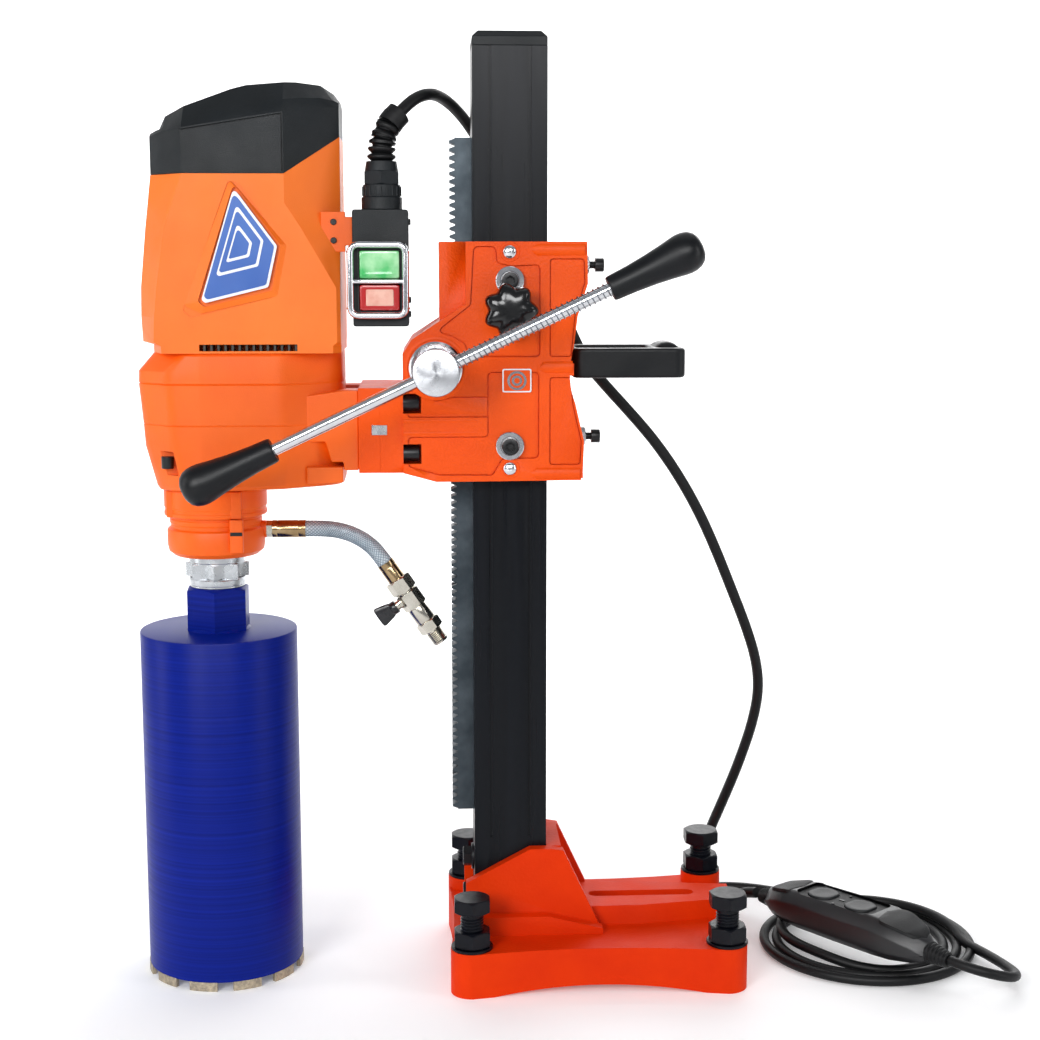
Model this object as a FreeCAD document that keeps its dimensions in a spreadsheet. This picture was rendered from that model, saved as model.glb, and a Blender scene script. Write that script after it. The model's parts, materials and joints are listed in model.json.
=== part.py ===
"""Core drill rig: a stand, a geared carriage, a wet drill motor, a core bit and its leads.

Millimetres, +Z up.  The origin is on the underside of the base, on the column's centre line.
+X runs from the column along the base, -X is the side of the drill motor, and -Y is the
operator's side.  Every size comes from the spreadsheet "dims"; a Size carries a number and the
spreadsheet formula behind it, so that sketches, lengths and placements stay bound to the sheet.
"""
import FreeCAD
import Part
import math
import operator
import os
from collections import namedtuple

import Sketcher
from FreeCAD import Placement, Rotation, Vector
from fcgear import involute
from fcgear.fcgear import FCWireBuilder

DIMENSIONS = {
    # Base casting
    "base_left": -64, "base_right": 243, "base_half_depth": 114, "base_height": 47,
    "base_corner": 22, "base_waist": 15, "end_waist": 5, "arch_height": 9, "foot_length": 44,
    "wall": 10, "floor_thickness": 12, "spine_half": 17, "pad_left": 50, "pad_height": 68,
    "pad_half_left": 38, "pad_half_right": 27, "boss_top": 60, "slot_half_width": 8,
    "slot_left": 86, "slot_right": 200, "bolt_left": -42, "bolt_right": 222, "bolt_y": 92,
    "cheek_inner": 37.9, "cheek_top": 50, "cheek_foot": 63, "web_left": 37.9, "web_right": 53,
    "web_height": 136, "cheek_low": 100, "cheek_end": 96, "socket_floor": 20,
    # Column and rack
    "column_half": 37.5, "column_wall": 5, "column_top": 955, "cap_height": 15, "cap_bevel": 6,
    "groove_half": 1.5, "groove_depth": 1.6, "groove_at": 20,
    "rack_module": 2.5, "rack_teeth": 89, "rack_half_width": 11, "pitch_line": -57.5,
    "column_bolt_low": 73, "column_bolt_high": 113, "column_bolt_radius": 6,
    "column_bolt_flats": 9.5, "column_bolt_head": 9, "column_washer": 14,
    # Levelling screws
    "screw_radius": 12, "screw_bottom": 4, "screw_head_low": 86, "screw_head_high": 101,
    "screw_flats": 18, "nut_height": 17, "washer_radius": 21.5, "washer_height": 3,
    # Carriage
    "feed_x": -75.15, "feed_z": 640, "pinion_teeth": 14, "cheek_near": 66, "pad_plane": 43.5,
    "carriage_top": 764, "carriage_bottom": 526, "carriage_right": 76, "web_outer": -71,
    "web_inner": -63.5, "web_half": 52, "flange_left": -131, "flange_right": -108,
    "flange_top": 620, "flange_bottom": 535, "shaft_radius": 12, "ring_radius": 27,
    "ring_depth": 5, "pad_upper": 726, "pad_lower": 562, "pad_screw_x": -1.5,
    "pad_screw_radius": 8.5, "pad_screw_head": 9, "pad_washer": 14, "rear_upper": 741,
    "rear_lower": 565, "knob_z": 697, "knob_radius": 27.5, "knob_waist": 22, "knob_depth": 22,
    "lock_radius": 5, "plug_radius": 6.5, "plug_upper": 754, "plug_lower": 539,
    # Carry handle
    "handle_low": 629, "handle_high": 651, "arm_outer": 48, "arm_inner": 30, "arm_left": 62.6,
    "grip_x": 160, "grip_radius": 18, "grip_z": 646,
    # Motor mount
    "plate_left": -152.5, "mount_half": 62, "mount_screw_low": 554, "mount_screw_high": 604.5,
    "mount_screw_radius": 8, "mount_screw_y": 55, "key_left": -139.5, "key_right": -124,
    "key_low": 573, "key_high": 583,
    # Drill motor
    "motor_x": -268, "spindle_x": -303, "motor_half": 70, "gearbox_low": 515,
    "housing_low": 655, "housing_split": 830, "split_right": 866, "motor_left": -368,
    "motor_right": -168.3, "facet_left": -318, "facet_right": -228, "shell": 5,
    "nose_radius": 52.5, "nose_low": 487, "collar_radius": 50, "collar_low": 445,
    "collar_high": 474, "collar_neck": 46, "inlet_z": 470, "stator_radius": 64.4,
    "stator_bore": 31, "stator_low": 708, "stator_high": 770, "armature_radius": 30,
    "first_module": 1.25, "first_pinion": 12, "first_gear": 40, "second_module": 1.75,
    "second_pinion": 13, "second_gear": 29, "idler_x": -281.3, "idler_y": 29.75,
    "mesh_low": 574, "mesh_high": 596,
    # Spindle and core bit
    "spindle_radius": 16, "flange_radius": 28.5, "square_half": 23, "thread_radius": 15.8,
    "bit_radius": 81, "bit_wall": 3, "bit_top": 366, "hub_top": 411.5, "hub_flats": 26,
    "segment_height": 10, "segment_teeth": 11, "segment_length": 30, "segment_extra": 0.8,
    # Feed bar
    "bar_y": -132, "bar_radius": 6.2, "bar_half": 254, "bar_shift": 6, "bar_tilt": 25.3,
    "grip_length": 97, "grip_small": 12, "grip_large": 20, "disc_radius": 22.5,
    "spring_radius": 7.4,
    # Switch box
    "box_left": -156, "box_right": -101, "box_low": 681, "box_high": 795, "box_front": -74,
    "box_back": -24, "start_low": 728, "start_high": 755, "stop_low": 697, "stop_high": 722,
    "button_left": -149, "button_right": -110, "cover_low": 690, "cover_high": 763,
    # Leads and hose
    "lead_radius": 6, "mains_radius": 5.25, "coil_x": 390, "coil_y": 8, "coil_radius": 128,
    "coil_band": 52, "coil_height": 22, "guard_half_length": 108, "guard_nose": 22,
    "guard_nose_half": 12, "guard_half": 31, "guard_low": 22.3, "guard_high": 64,
    "guard_x": 366, "guard_y": -21, "guard_turn": -51.5, "guard_nose_high": 47.7, "guard_button": 17,
    "guard_button_left": -34, "guard_button_right": 16, "plug_x": 74, "plug_y": 145,
    "plug_half_width": 20, "plug_height": 28, "plug_length": 46, "plug_pin": 2.4,
    "hose_radius": 8, "ferrule_radius": 9.2, "ferrule_length": 34, "fitting_nut": 8,
    "valve_x": -128.7, "valve_z": 432.5, "valve_slope": 55.5, "valve_flats": 11.3,
    "nipple_radius": 9, "nipple_length": 16,
}
OPERATORS = {"+": operator.add, "-": operator.sub, "*": operator.mul, "/": operator.truediv}
PLANES = {"XY": ("XY_Plane", 1), "XZ": ("XZ_Plane", -1), "YZ": ("YZ_Plane", 1)}
CLOSE = 0.05
Circle = namedtuple("Circle", "x y radius")

doc = FreeCAD.newDocument("core_drill_rig")
sheet = doc.addObject("Spreadsheet::Sheet", "dims")
for row, (name, number) in enumerate(DIMENSIONS.items(), start=1):
    sheet.set(f"A{row}", name)
    sheet.set(f"B{row}", str(number))
    sheet.setAlias(f"B{row}", name)
doc.recompute()
pieces = {}


class Size:
    """A number and the spreadsheet formula that gives it."""

    def __init__(self, value, formula):
        self.value = float(value)
        self.formula = formula

    def __add__(self, other):
        return combined(self, "+", other)

    def __radd__(self, other):
        return combined(other, "+", self)

    def __sub__(self, other):
        return combined(self, "-", other)

    def __rsub__(self, other):
        return combined(other, "-", self)

    def __mul__(self, other):
        return combined(self, "*", other)

    def __rmul__(self, other):
        return combined(other, "*", self)

    def __truediv__(self, other):
        return combined(self, "/", other)

    def __neg__(self):
        return combined(0, "-", self)


def as_size(number):
    return number if isinstance(number, Size) else Size(number, repr(float(number)))


def combined(first, sign, second):
    first, second = as_size(first), as_size(second)
    value = OPERATORS[sign](first.value, second.value)
    return Size(value, f"({first.formula} {sign} {second.formula})")


class Dims:
    """Reads a cell of the sheet by its alias, as a Size."""

    def __getattr__(self, alias):
        return Size(sheet.get(alias), f"dims.{alias}")


d = Dims()


def bind(item, property_path, size):
    item.setExpression(property_path, as_size(size).formula)


def new_body(name):
    body = doc.addObject("PartDesign::Body", name)
    body.Label = name
    pieces[name] = body
    return body


def new_sketch(body, plane, level):
    """A sketch on one of the body's own origin planes, moved along its normal to a level."""
    role, side = PLANES[plane]
    sketch = body.newObject("Sketcher::SketchObject", f"{body.Name}_sketch")
    origin_plane = next(item for item in body.Origin.OriginFeatures if item.Role == role)
    sketch.AttachmentSupport = [(origin_plane, "")]
    sketch.MapMode = "FlatFace"
    bind(sketch, "AttachmentOffset.Base.z", as_size(level) * side)
    return sketch


def constrain(sketch, kind, *numbers):
    """A dimension of the sketch, bound to the sheet."""
    size = as_size(numbers[-1])
    index = sketch.addConstraint(Sketcher.Constraint(kind, *numbers[:-1], size.value))
    sketch.setExpression(f"Constraints[{index}]", size.formula)


def fix_point(sketch, geometry, position, x, y):
    constrain(sketch, "DistanceX", geometry, position, x)
    constrain(sketch, "DistanceY", geometry, position, y)


def arc_between(start, end, radius):
    """The short arc from start to end: a positive radius turns left, a negative one right."""
    chord = end - start
    left = Vector(-chord.y, chord.x, 0).normalize()
    reach = math.sqrt(radius ** 2 - chord.Length ** 2 / 4)
    centre = start + chord / 2 + left * math.copysign(reach, radius)
    first, last = (start, end) if radius > 0 else (end, start)
    angles = [math.atan2(point.y - centre.y, point.x - centre.x) for point in (first, last)]
    if angles[1] < angles[0]:
        angles[1] += 2 * math.pi
    circle = Part.Circle(centre, Vector(0, 0, 1), abs(radius))
    return Part.ArcOfCircle(circle, angles[0], angles[1])


def draw_outline(sketch, corners):
    """A closed outline.  A corner is (x, y), or (x, y, radius) where an arc leaves it."""
    ends = []
    for here, there in zip(corners, corners[1:] + corners[:1]):
        start, end = [Vector(as_size(x).value, as_size(y).value, 0) for x, y in (here[:2], there[:2])]
        backwards = False
        if len(here) == 3:
            radius = as_size(here[2])
            index = sketch.addGeometry(arc_between(start, end, radius.value))
            backwards = radius.value < 0
            constrain(sketch, "Radius", index, radius * (-1 if backwards else 1))
        else:
            index = sketch.addGeometry(Part.LineSegment(start, end))
        ends.append((index, 2, 1) if backwards else (index, 1, 2))
    for (here, before), corner in zip(zip(ends, ends[-1:] + ends[:-1]), corners):
        sketch.addConstraint(Sketcher.Constraint("Coincident", before[0], before[2], here[0], here[1]))
        fix_point(sketch, here[0], here[1], corner[0], corner[1])


def draw(sketch, shapes):
    for shape in shapes:
        if isinstance(shape, Circle):
            centre = Vector(as_size(shape.x).value, as_size(shape.y).value, 0)
            circle = Part.Circle(centre, Vector(0, 0, 1), as_size(shape.radius).value)
            index = sketch.addGeometry(circle)
            fix_point(sketch, index, 3, shape.x, shape.y)
            constrain(sketch, "Radius", index, shape.radius)
        else:
            draw_outline(sketch, shape)


def pad(body, plane, shapes, low, high):
    """Material between two levels along the plane's axis."""
    forwards = PLANES[plane][1] > 0
    sketch = new_sketch(body, plane, low if forwards else high)
    draw(sketch, shapes)
    feature = body.newObject("PartDesign::Pad", f"{body.Name}_pad")
    feature.Profile = sketch
    bind(feature, "Length", as_size(high) - low)
    return feature


def pocket(body, plane, shapes, low, high):
    """Removes material between two levels, and stops if that removed nothing."""
    doc.recompute()
    before = body.Shape.Volume
    forwards = PLANES[plane][1] > 0
    sketch = new_sketch(body, plane, high if forwards else low)
    draw(sketch, shapes)
    feature = body.newObject("PartDesign::Pocket", f"{body.Name}_pocket")
    feature.Profile = sketch
    bind(feature, "Length", as_size(high) - low)
    doc.recompute()
    if not body.Shape.Volume < before - 1:
        raise RuntimeError(f"a pocket in {body.Label} removed nothing")
    return feature


def revolve(body, outline):
    """A solid of revolution about the body's Z axis; the outline is in (radius, height)."""
    sketch = new_sketch(body, "XZ", 0)
    draw_outline(sketch, outline)
    feature = body.newObject("PartDesign::Revolution", f"{body.Name}_turned")
    feature.Profile = sketch
    feature.ReferenceAxis = (sketch, ["V_Axis"])
    feature.Angle = 360
    return feature


def dress(body, kind, size, wanted):
    """Rounds ("Fillet") or bevels ("Chamfer") the edges of the body for which wanted(edge)."""
    doc.recompute()
    base = body.Tip
    names = [f"Edge{i}" for i, edge in enumerate(base.Shape.Edges, start=1) if wanted(edge)]
    feature = body.newObject(f"PartDesign::{kind}", f"{body.Name}_{kind}")
    feature.Base = (base, names)
    bind(feature, "Radius" if kind == "Fillet" else "Size", size)
    return feature


def place(item, x, y, z, axis=Vector(0, 0, 1)):
    item.Placement = Placement(Vector(0, 0, 0), Rotation(Vector(0, 0, 1), axis))
    for letter, size in zip("xyz", (x, y, z)):
        bind(item, f"Placement.Base.{letter}", size)


def rectangle(left, right, low, high):
    return [(left, low), (right, low), (right, high), (left, high)]


def centred(x, y, half_width, half_height):
    return rectangle(x - half_width, x + half_width, y - half_height, y + half_height)


def hexagon(x, y, flats):
    """A hexagon with two flats across Y; flats is half its size across flats."""
    side = flats * (1 / math.sqrt(3))
    corners = [(2, 0), (1, 1), (-1, 1), (-2, 0), (-1, -1), (1, -1)]
    return [(x + side * across, y + flats * up) for across, up in corners]


def tube_outline(inner, outer, low, high):
    return [(inner, low), (outer, low), (outer, high), (inner, high)]


def along(edge, axis):
    if len(edge.Vertexes) < 2 or not isinstance(edge.Curve, Part.Line):
        return False
    return abs(abs(edge.tangentAt(edge.FirstParameter).dot(axis)) - 1) < CLOSE


def put(name, shape):
    """A sub-part whose shape is built here from the sheet's sizes."""
    item = doc.addObject("Part::Feature", name)
    item.Label = name
    item.Shape = shape
    item.Placement = Placement()
    pieces[name] = item
    return item


def joined(name, kind, base, tool):
    """A boolean of two document objects, which takes the name of the sub-part."""
    item = doc.addObject(f"Part::{kind}", f"{name}_{kind}")
    item.Base, item.Tool = base, tool
    base.Label = f"{name}_blank"
    item.Label = name
    pieces[name] = item
    return item


def merged(first, *others):
    shape = first.fuse(list(others))
    return shape.removeSplitter()


# ---------------------------------------------------------------- stand

def base_casting():
    """A ribbed foot with four corner feet, an anchor slot and two cheeks that hold the column."""
    body = new_body("base_casting")
    left, right, depth, corner = d.base_left, d.base_right, d.base_half_depth, d.base_corner
    side_radius, end_radius = 700, 900
    outline = [
        (left, depth - corner, -corner), (left + corner, depth, side_radius),
        (right - corner, depth, -corner), (right, depth - corner, end_radius),
        (right, corner - depth, -corner), (right - corner, -depth, side_radius),
        (left + corner, -depth, -corner), (left, corner - depth, end_radius)]
    pad(body, "XY", [outline], 0, d.base_height)
    raised = [(d.pad_left, -d.pad_half_left), (d.pad_left, d.pad_half_left),
              (d.slot_left + 50, d.pad_half_left - 1), (d.slot_right, d.pad_half_right),
              (right - 3, d.pad_half_right - 5), (right - 3, 5 - d.pad_half_right),
              (d.slot_right, -d.pad_half_right), (d.slot_left + 50, 1 - d.pad_half_left)]
    pad(body, "XY", [raised], d.base_height - 1, d.pad_height)
    bosses = [Circle(x, d.bolt_y, d.base_corner) for x in (d.bolt_left, d.bolt_right)]
    pad(body, "XY", bosses, d.base_height - 1, d.boss_top)
    cheek = [(left + 17, d.base_height - 1), (d.cheek_end, d.base_height - 1),
             (d.web_right + 2, d.web_height - 2), (d.web_right - 10, d.web_height),
             (d.web_left - 18, d.web_height), (left + 17, d.cheek_low)]
    pad(body, "XZ", [cheek], -d.cheek_top, -d.cheek_inner)
    pad(body, "XZ", [cheek], d.cheek_inner, d.cheek_top)
    skirt = [(left + 20, d.base_height - 1), (d.cheek_end, d.base_height - 1),
             (d.cheek_end, d.base_height + 6), (d.web_right - 14, d.base_height + 20),
             (left + 20, d.base_height + 20)]
    pad(body, "XZ", [skirt], -d.cheek_foot, 1 - d.cheek_top)
    pad(body, "XZ", [skirt], d.cheek_top - 1, d.cheek_foot)
    web = rectangle(d.web_left, d.web_right, d.base_height - 1, d.web_height)
    pad(body, "XZ", [web], -d.cheek_inner - 1, d.cheek_inner + 1)
    socket = centred(as_size(0), as_size(0), d.cheek_inner, d.cheek_inner)
    pocket(body, "XY", [socket], d.socket_floor, d.base_height + 5)
    ends = (d.slot_left + d.slot_half_width, d.slot_right - d.slot_half_width)
    slot = rectangle(*ends, -d.slot_half_width, d.slot_half_width)
    pocket(body, "XY", [slot], 0, d.pad_height)
    for x in ends:
        pocket(body, "XY", [Circle(x, 0, d.slot_half_width)], 0, d.pad_height)
    hollow_top = d.base_height - d.floor_thickness
    room = rectangle(d.web_right + 6, d.bolt_right - d.base_corner - 4, d.spine_half,
                     d.base_half_depth - d.base_waist - d.wall - 4)
    mirrored = [(x, -as_size(y)) for x, y in room]
    pocket(body, "XY", [room, mirrored], 0, hollow_top)
    arch_left, arch_right = left + d.foot_length, right - d.foot_length
    arch = [(arch_left, 0, -780), (arch_right, 0)]
    pocket(body, "XZ", [arch], -depth - 2, -d.base_half_depth + 50)
    pocket(body, "XZ", [arch], d.base_half_depth - 50, depth + 2)
    corners = [Circle(x, y, d.screw_radius + 0.6) for x in (d.bolt_left, d.bolt_right)
               for y in (-d.bolt_y, d.bolt_y)]
    pocket(body, "XY", corners, 0, d.boss_top)
    bolts = [Circle(0, z, d.column_bolt_radius + CLOSE) for z in (d.column_bolt_low, d.column_bolt_high)]
    pocket(body, "YZ", bolts, left - 1, d.web_right + 1)


def column():
    """A hollow square column with two grooves down each side, and its end cap."""
    half = d.column_half
    body = new_body("column_tube")
    outer = centred(as_size(0), as_size(0), half, half)
    inner = centred(as_size(0), as_size(0), half - d.column_wall, half - d.column_wall)
    pad(body, "XY", [outer, inner], d.socket_floor, d.column_top)
    grooves = []
    for x in (-d.groove_at, d.groove_at):
        for y in (-half, half):
            grooves.append(centred(x, y, d.groove_half, d.groove_depth))
    pocket(body, "XY", grooves, d.web_height + 10, d.column_top)
    bolts = [Circle(0, z, d.column_bolt_radius + CLOSE) for z in (d.column_bolt_low, d.column_bolt_high)]
    pocket(body, "YZ", bolts, -half, half)
    cap = new_body("column_cap")
    pad(cap, "XY", [outer], d.column_top, d.column_top + d.cap_height)
    top = (d.column_top + d.cap_height).value
    dress(cap, "Chamfer", d.cap_bevel, lambda edge: edge.BoundBox.ZMin > top - 1)
    plug = centred(as_size(0), as_size(0), half - d.column_wall - CLOSE, half - d.column_wall - CLOSE)
    pad(cap, "XY", [plug], d.column_top - 12, d.column_top)


def rack():
    """A straight rack; its tooth flanks lean 20 degrees, and it is screwed to the column."""
    module, pitch = d.rack_module.value, math.pi * d.rack_module.value
    # The rack starts a whole number of teeth below the pinion, so that a gap faces its tooth.
    start = d.feed_z.value - round((d.feed_z.value - 169) / pitch) * pitch
    root = d.pitch_line.value + 1.25 * module
    tip = d.pitch_line.value - module
    slope = math.tan(math.radians(20))
    gap_root = pitch / 4 - 1.25 * module * slope
    gap_tip = pitch / 4 + module * slope
    points = [Vector(-d.column_half.value, 0, start), Vector(root, 0, start)]
    for tooth in range(int(d.rack_teeth.value)):
        foot = start + tooth * pitch
        for x, step in ((root, gap_root), (tip, gap_tip), (tip, pitch - gap_tip), (root, pitch - gap_root)):
            points.append(Vector(x, 0, foot + step))
    end = start + d.rack_teeth.value * pitch
    points += [Vector(root, 0, end), Vector(-d.column_half.value, 0, end)]
    points = [point - Vector(0, d.rack_half_width.value, 0) for point in points]
    face = Part.Face(Part.makePolygon(points + points[:1]))
    blank = face.extrude(Vector(0, 2 * d.rack_half_width.value, 0))
    holes, screws = [], []
    inward = Vector(1, 0, 0)
    seat = root + 6.4
    for share in (0.06, 0.35, 0.65, 0.94):
        gap = start + round(share * d.rack_teeth.value) * pitch
        holes.append(Part.makeCylinder(5.2, seat - tip + 1, Vector(tip - 1, 0, gap), inward))
        holes.append(Part.makeCylinder(3.1, 40, Vector(seat - 1, 0, gap), inward))
        head = Part.makeCylinder(5, 5.8, Vector(seat - 5.8, 0, gap), inward)
        screws.append(merged(head, Part.makeCylinder(3, 19, Vector(seat - 1, 0, gap), inward)))
    put("rack", blank.cut(holes))
    put("rack_screws", Part.makeCompound(screws))
    return [screw.BoundBox.Center for screw in screws]


def rack_screw_holes():
    """The rack's screws go through the column's wall, so the wall gets clearance holes."""
    tools = [Part.makeCylinder(3.1, 12, Vector(-d.column_half.value - 1, 0, centre.z), Vector(1, 0, 0))
             for centre in rack()]
    drill = put("rack_screw_drill", Part.makeCompound(tools))
    del pieces["rack_screw_drill"]
    joined("column_tube", "Cut", pieces["column_tube"], drill)


def column_bolts():
    """Two hexagon bolts with washers clamp the column to the web behind it."""
    body = new_body("column_bolts")
    heights = (d.column_bolt_low, d.column_bolt_high)
    face = -d.column_half
    washers = [Circle(0, z, d.column_washer) for z in heights]
    pad(body, "YZ", washers, face - 3, face - CLOSE)
    heads = [hexagon(as_size(0), z, d.column_bolt_flats) for z in heights]
    pad(body, "YZ", heads, face - 3 - d.column_bolt_head, face - 2)
    shanks = [Circle(0, z, d.column_bolt_radius) for z in heights]
    pad(body, "YZ", shanks, face - 4, d.web_right - 1)


def levelling():
    """Four M24 screws through the corner feet, each with a nut and a washer on the casting."""
    nuts = new_body("levelling_nuts")
    spots = {"near_left": (d.bolt_left, -d.bolt_y, d.base_height),
             "near_right": (d.bolt_right, -d.bolt_y, d.base_height),
             "far_left": (d.bolt_left, d.bolt_y, d.boss_top),
             "far_right": (d.bolt_right, d.bolt_y, d.boss_top)}
    bore = d.screw_radius + CLOSE
    for x, y, seat in spots.values():
        pad(nuts, "XY", [Circle(x, y, d.washer_radius), Circle(x, y, bore)], seat, seat + d.washer_height)
        pad(nuts, "XY", [hexagon(x, y, d.screw_flats), Circle(x, y, bore)],
            seat + d.washer_height, seat + d.nut_height + d.washer_height)
    for name, (x, y, seat) in spots.items():
        screw = new_body(f"levelling_screw_{name}")
        pad(screw, "XY", [Circle(x, y, d.screw_radius)], d.screw_bottom, d.screw_head_high - 2)
        head = [hexagon(x, y, d.screw_flats)]
        pad(screw, "XY", head, d.screw_head_low, d.screw_head_high)
        lift = d.boss_top - d.base_height if seat.value > d.base_height.value else as_size(0)
        bind(screw, "Placement.Base.z", lift * 0.5)


# ---------------------------------------------------------------- carriage

def carriage_casting():
    """A box casting round the column, with the pinion's housing and the motor's flange."""
    body = new_body("carriage_casting")
    near, inner = d.cheek_near, d.pad_plane
    cheek = [(-45, d.carriage_top), (d.carriage_right - 1, d.carriage_top), (d.carriage_right, 723),
             (66, 691), (62, 660, 90), (64, 604), (73, 566), (72, 540), (70, d.carriage_bottom + 1),
             (-75, d.carriage_bottom), (d.flange_right, d.flange_bottom), (d.flange_right, 654),
             (-99, 668), (-45, 703)]
    pad(body, "XZ", [cheek], -near, near)
    web = rectangle(d.web_outer, as_size(-43), as_size(670), d.carriage_top)
    pad(body, "XZ", [web], -d.web_half, d.web_half)
    flange = rectangle(d.flange_left, d.flange_right + 1, d.flange_bottom, d.flange_top)
    pad(body, "XZ", [flange], -d.mount_half, d.mount_half)
    bosses = [rectangle(29, 72, z, z + 12) for z in (529, 632, d.carriage_top - 15)]
    pad(body, "XZ", bosses, -near - 3, 1 - near)
    well = [(d.web_inner, -inner), (inner, -inner), (inner, inner), (d.web_inner, inner)]
    pocket(body, "XY", [well], d.carriage_bottom, d.carriage_top)
    gear_room = rectangle(d.feed_x - 23, d.web_inner + 1, d.feed_z - 25, d.feed_z + 25)
    pocket(body, "XZ", [gear_room], -16, 16)
    pocket(body, "XZ", [Circle(d.feed_x, d.feed_z, d.shaft_radius + CLOSE)], -near - 4, near + 4)
    pocket(body, "XZ", [Circle(d.feed_x, d.feed_z, d.ring_radius)], -near, d.ring_depth - near)
    for side in (-1, 1):
        low, high = sorted((side * 45, side * 67))
        notches = [rectangle(d.flange_right, as_size(-90), z - 10, z + 10)
                   for z in (d.mount_screw_low, d.mount_screw_high)]
        pocket(body, "XZ", notches, low, high)
        holes = [Circle(side * d.mount_screw_y, z, 5.1) for z in (d.mount_screw_low, d.mount_screw_high)]
        pocket(body, "YZ", holes, d.flange_left, d.flange_right + 2)
    key = rectangle(d.flange_left, d.key_right, d.key_low, d.key_high)
    pocket(body, "XZ", [key], -d.mount_half, d.mount_half)
    screws = [Circle(d.pad_screw_x, z, 5.1) for z in (d.pad_upper, d.pad_lower)]
    locks = [Circle(d.pad_screw_x, d.knob_z, d.lock_radius + CLOSE)]
    pocket(body, "XZ", screws + locks, -near, -inner)
    pocket(body, "XZ", screws, inner, near)
    rear = [Circle(0, z, 4.1) for z in (d.rear_lower, d.rear_upper)]
    pocket(body, "YZ", rear, inner, 80)


def slide_pads():
    """Low-friction pads between the carriage and the column: sides, front and rear."""
    body = new_body("slide_pads")
    low, high = d.column_half + 0.1, d.pad_plane
    for z in (d.pad_upper, d.pad_lower):
        for y in (-1, 1):
            ends = sorted((y * low.value, y * high.value))
            pad(body, "XZ", [rectangle(-32, 32, z - 32, z + 32)], ends[0], ends[1])
            side = centred(as_size(y * 25), z, 9, 32)
            pad(body, "YZ", [side], d.web_inner, -low)
        pad(body, "YZ", [centred(as_size(0), z, 32, 32)], low, high)


def carriage_screws():
    """Cap screws with bright washers that set the side pads, plugs beside them, and the two
    rear adjusting screws with their lock nuts."""
    near, deep = d.cheek_near, d.cheek_near + 3
    spots = [Circle(d.pad_screw_x, z, d.pad_screw_radius) for z in (d.pad_upper, d.pad_lower)]
    shanks = [spot._replace(radius=5) for spot in spots]
    washers = [spot._replace(radius=size) for spot in spots for size in (d.pad_washer, 5.1)]
    caps = [Circle(d.pad_screw_x, z, d.plug_radius) for z in (d.plug_lower, d.plug_upper)]
    screws = new_body("pad_screws")
    pad(screws, "XZ", spots, -deep - d.pad_screw_head, -deep)
    pad(screws, "XZ", shanks, -deep - 1, -d.pad_plane)
    pad(screws, "XZ", spots, deep, deep + d.pad_screw_head)
    pad(screws, "XZ", shanks, d.pad_plane, deep + 1)
    pad(screws, "XZ", washers, -deep, -near)
    pad(screws, "XZ", washers, near, deep)
    plugs = new_body("grease_plugs")
    pad(plugs, "XZ", caps, -deep, -near)
    pad(plugs, "XZ", caps, near, deep)
    rear = new_body("rear_screws")
    for z, wall in ((d.rear_lower, as_size(73)), (d.rear_upper, d.carriage_right)):
        pad(rear, "YZ", [Circle(0, z, 4)], d.pad_plane, wall + 14)
        pad(rear, "YZ", [Circle(0, z, 7)], wall + 13, wall + 22)
        pad(rear, "YZ", [hexagon(as_size(0), z, as_size(7)), Circle(0, z, 4 + CLOSE)], wall, wall + 7)


def lock_knob():
    """A seven-lobed hand knob on a screw that clamps the carriage to the column."""
    body = new_body("lock_knob")
    step = 2 * math.pi / 7
    star = []
    for lobe in range(7):
        for radius, turn in ((d.knob_radius, -0.16), (d.knob_radius, 0.16), (d.knob_waist, 0.5)):
            angle = (lobe + turn) * step
            star.append((radius * math.cos(angle), radius * math.sin(angle)))
    pad(body, "XY", [star], 0, d.knob_depth)
    pad(body, "XY", [Circle(0, 0, d.lock_radius + 6)], -13, 0)
    pad(body, "XY", [Circle(0, 0, d.lock_radius)], -35.8, 0)
    place(body, d.pad_screw_x, -d.cheek_near - 13.5, d.knob_z, Vector(0, -1, 0))


def carry_handle():
    """A moulded loop behind the carriage: two arms and a thick cross grip."""
    body = new_body("carry_handle")
    low, high = d.handle_low, d.handle_high
    arm = [(d.arm_left, low), (d.grip_x, low + 3), (d.grip_x, high + 4), (d.arm_left + 36, high),
           (d.arm_left + 2, high)]
    pad(body, "XZ", [arm], -d.arm_outer, -d.arm_inner)
    pad(body, "XZ", [arm], d.arm_inner, d.arm_outer)
    pad(body, "XZ", [Circle(d.grip_x, d.grip_z, d.grip_radius)], -d.arm_outer, d.arm_outer)
    foot = rectangle(d.arm_left, d.arm_left + 7, low, high)
    pad(body, "XZ", [foot], -d.arm_inner - 1, d.arm_inner + 1)


def motor_mount():
    """The plate on the gearbox, the key that lines it up with the carriage, and four screws."""
    plate = new_body("mount_plate")
    left, right, half = d.plate_left, d.flange_left, d.mount_half
    outline = rectangle(left, right, d.flange_bottom, d.flange_top)
    pad(plate, "XZ", [outline], -half, half)
    slot = rectangle(d.key_left, right, d.key_low, d.key_high)
    pocket(plate, "XZ", [slot], -half, half)
    spots = [(y, z) for y in (-d.mount_screw_y, d.mount_screw_y)
             for z in (d.mount_screw_low, d.mount_screw_high)]
    pocket(plate, "YZ", [Circle(y, z, 5.1) for y, z in spots], left + 4, right)
    key = new_body("mount_key")
    bar = rectangle(d.key_left, d.key_right, d.key_low, d.key_high)
    pad(key, "XZ", [bar], -half, half)
    screws = new_body("mount_screws")
    pad(screws, "YZ", [Circle(y, z, 5) for y, z in spots], left + 6, d.flange_right + 2)
    pad(screws, "YZ", [Circle(y, z, d.mount_screw_radius) for y, z in spots], d.flange_right,
        d.flange_right + 10)


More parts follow.
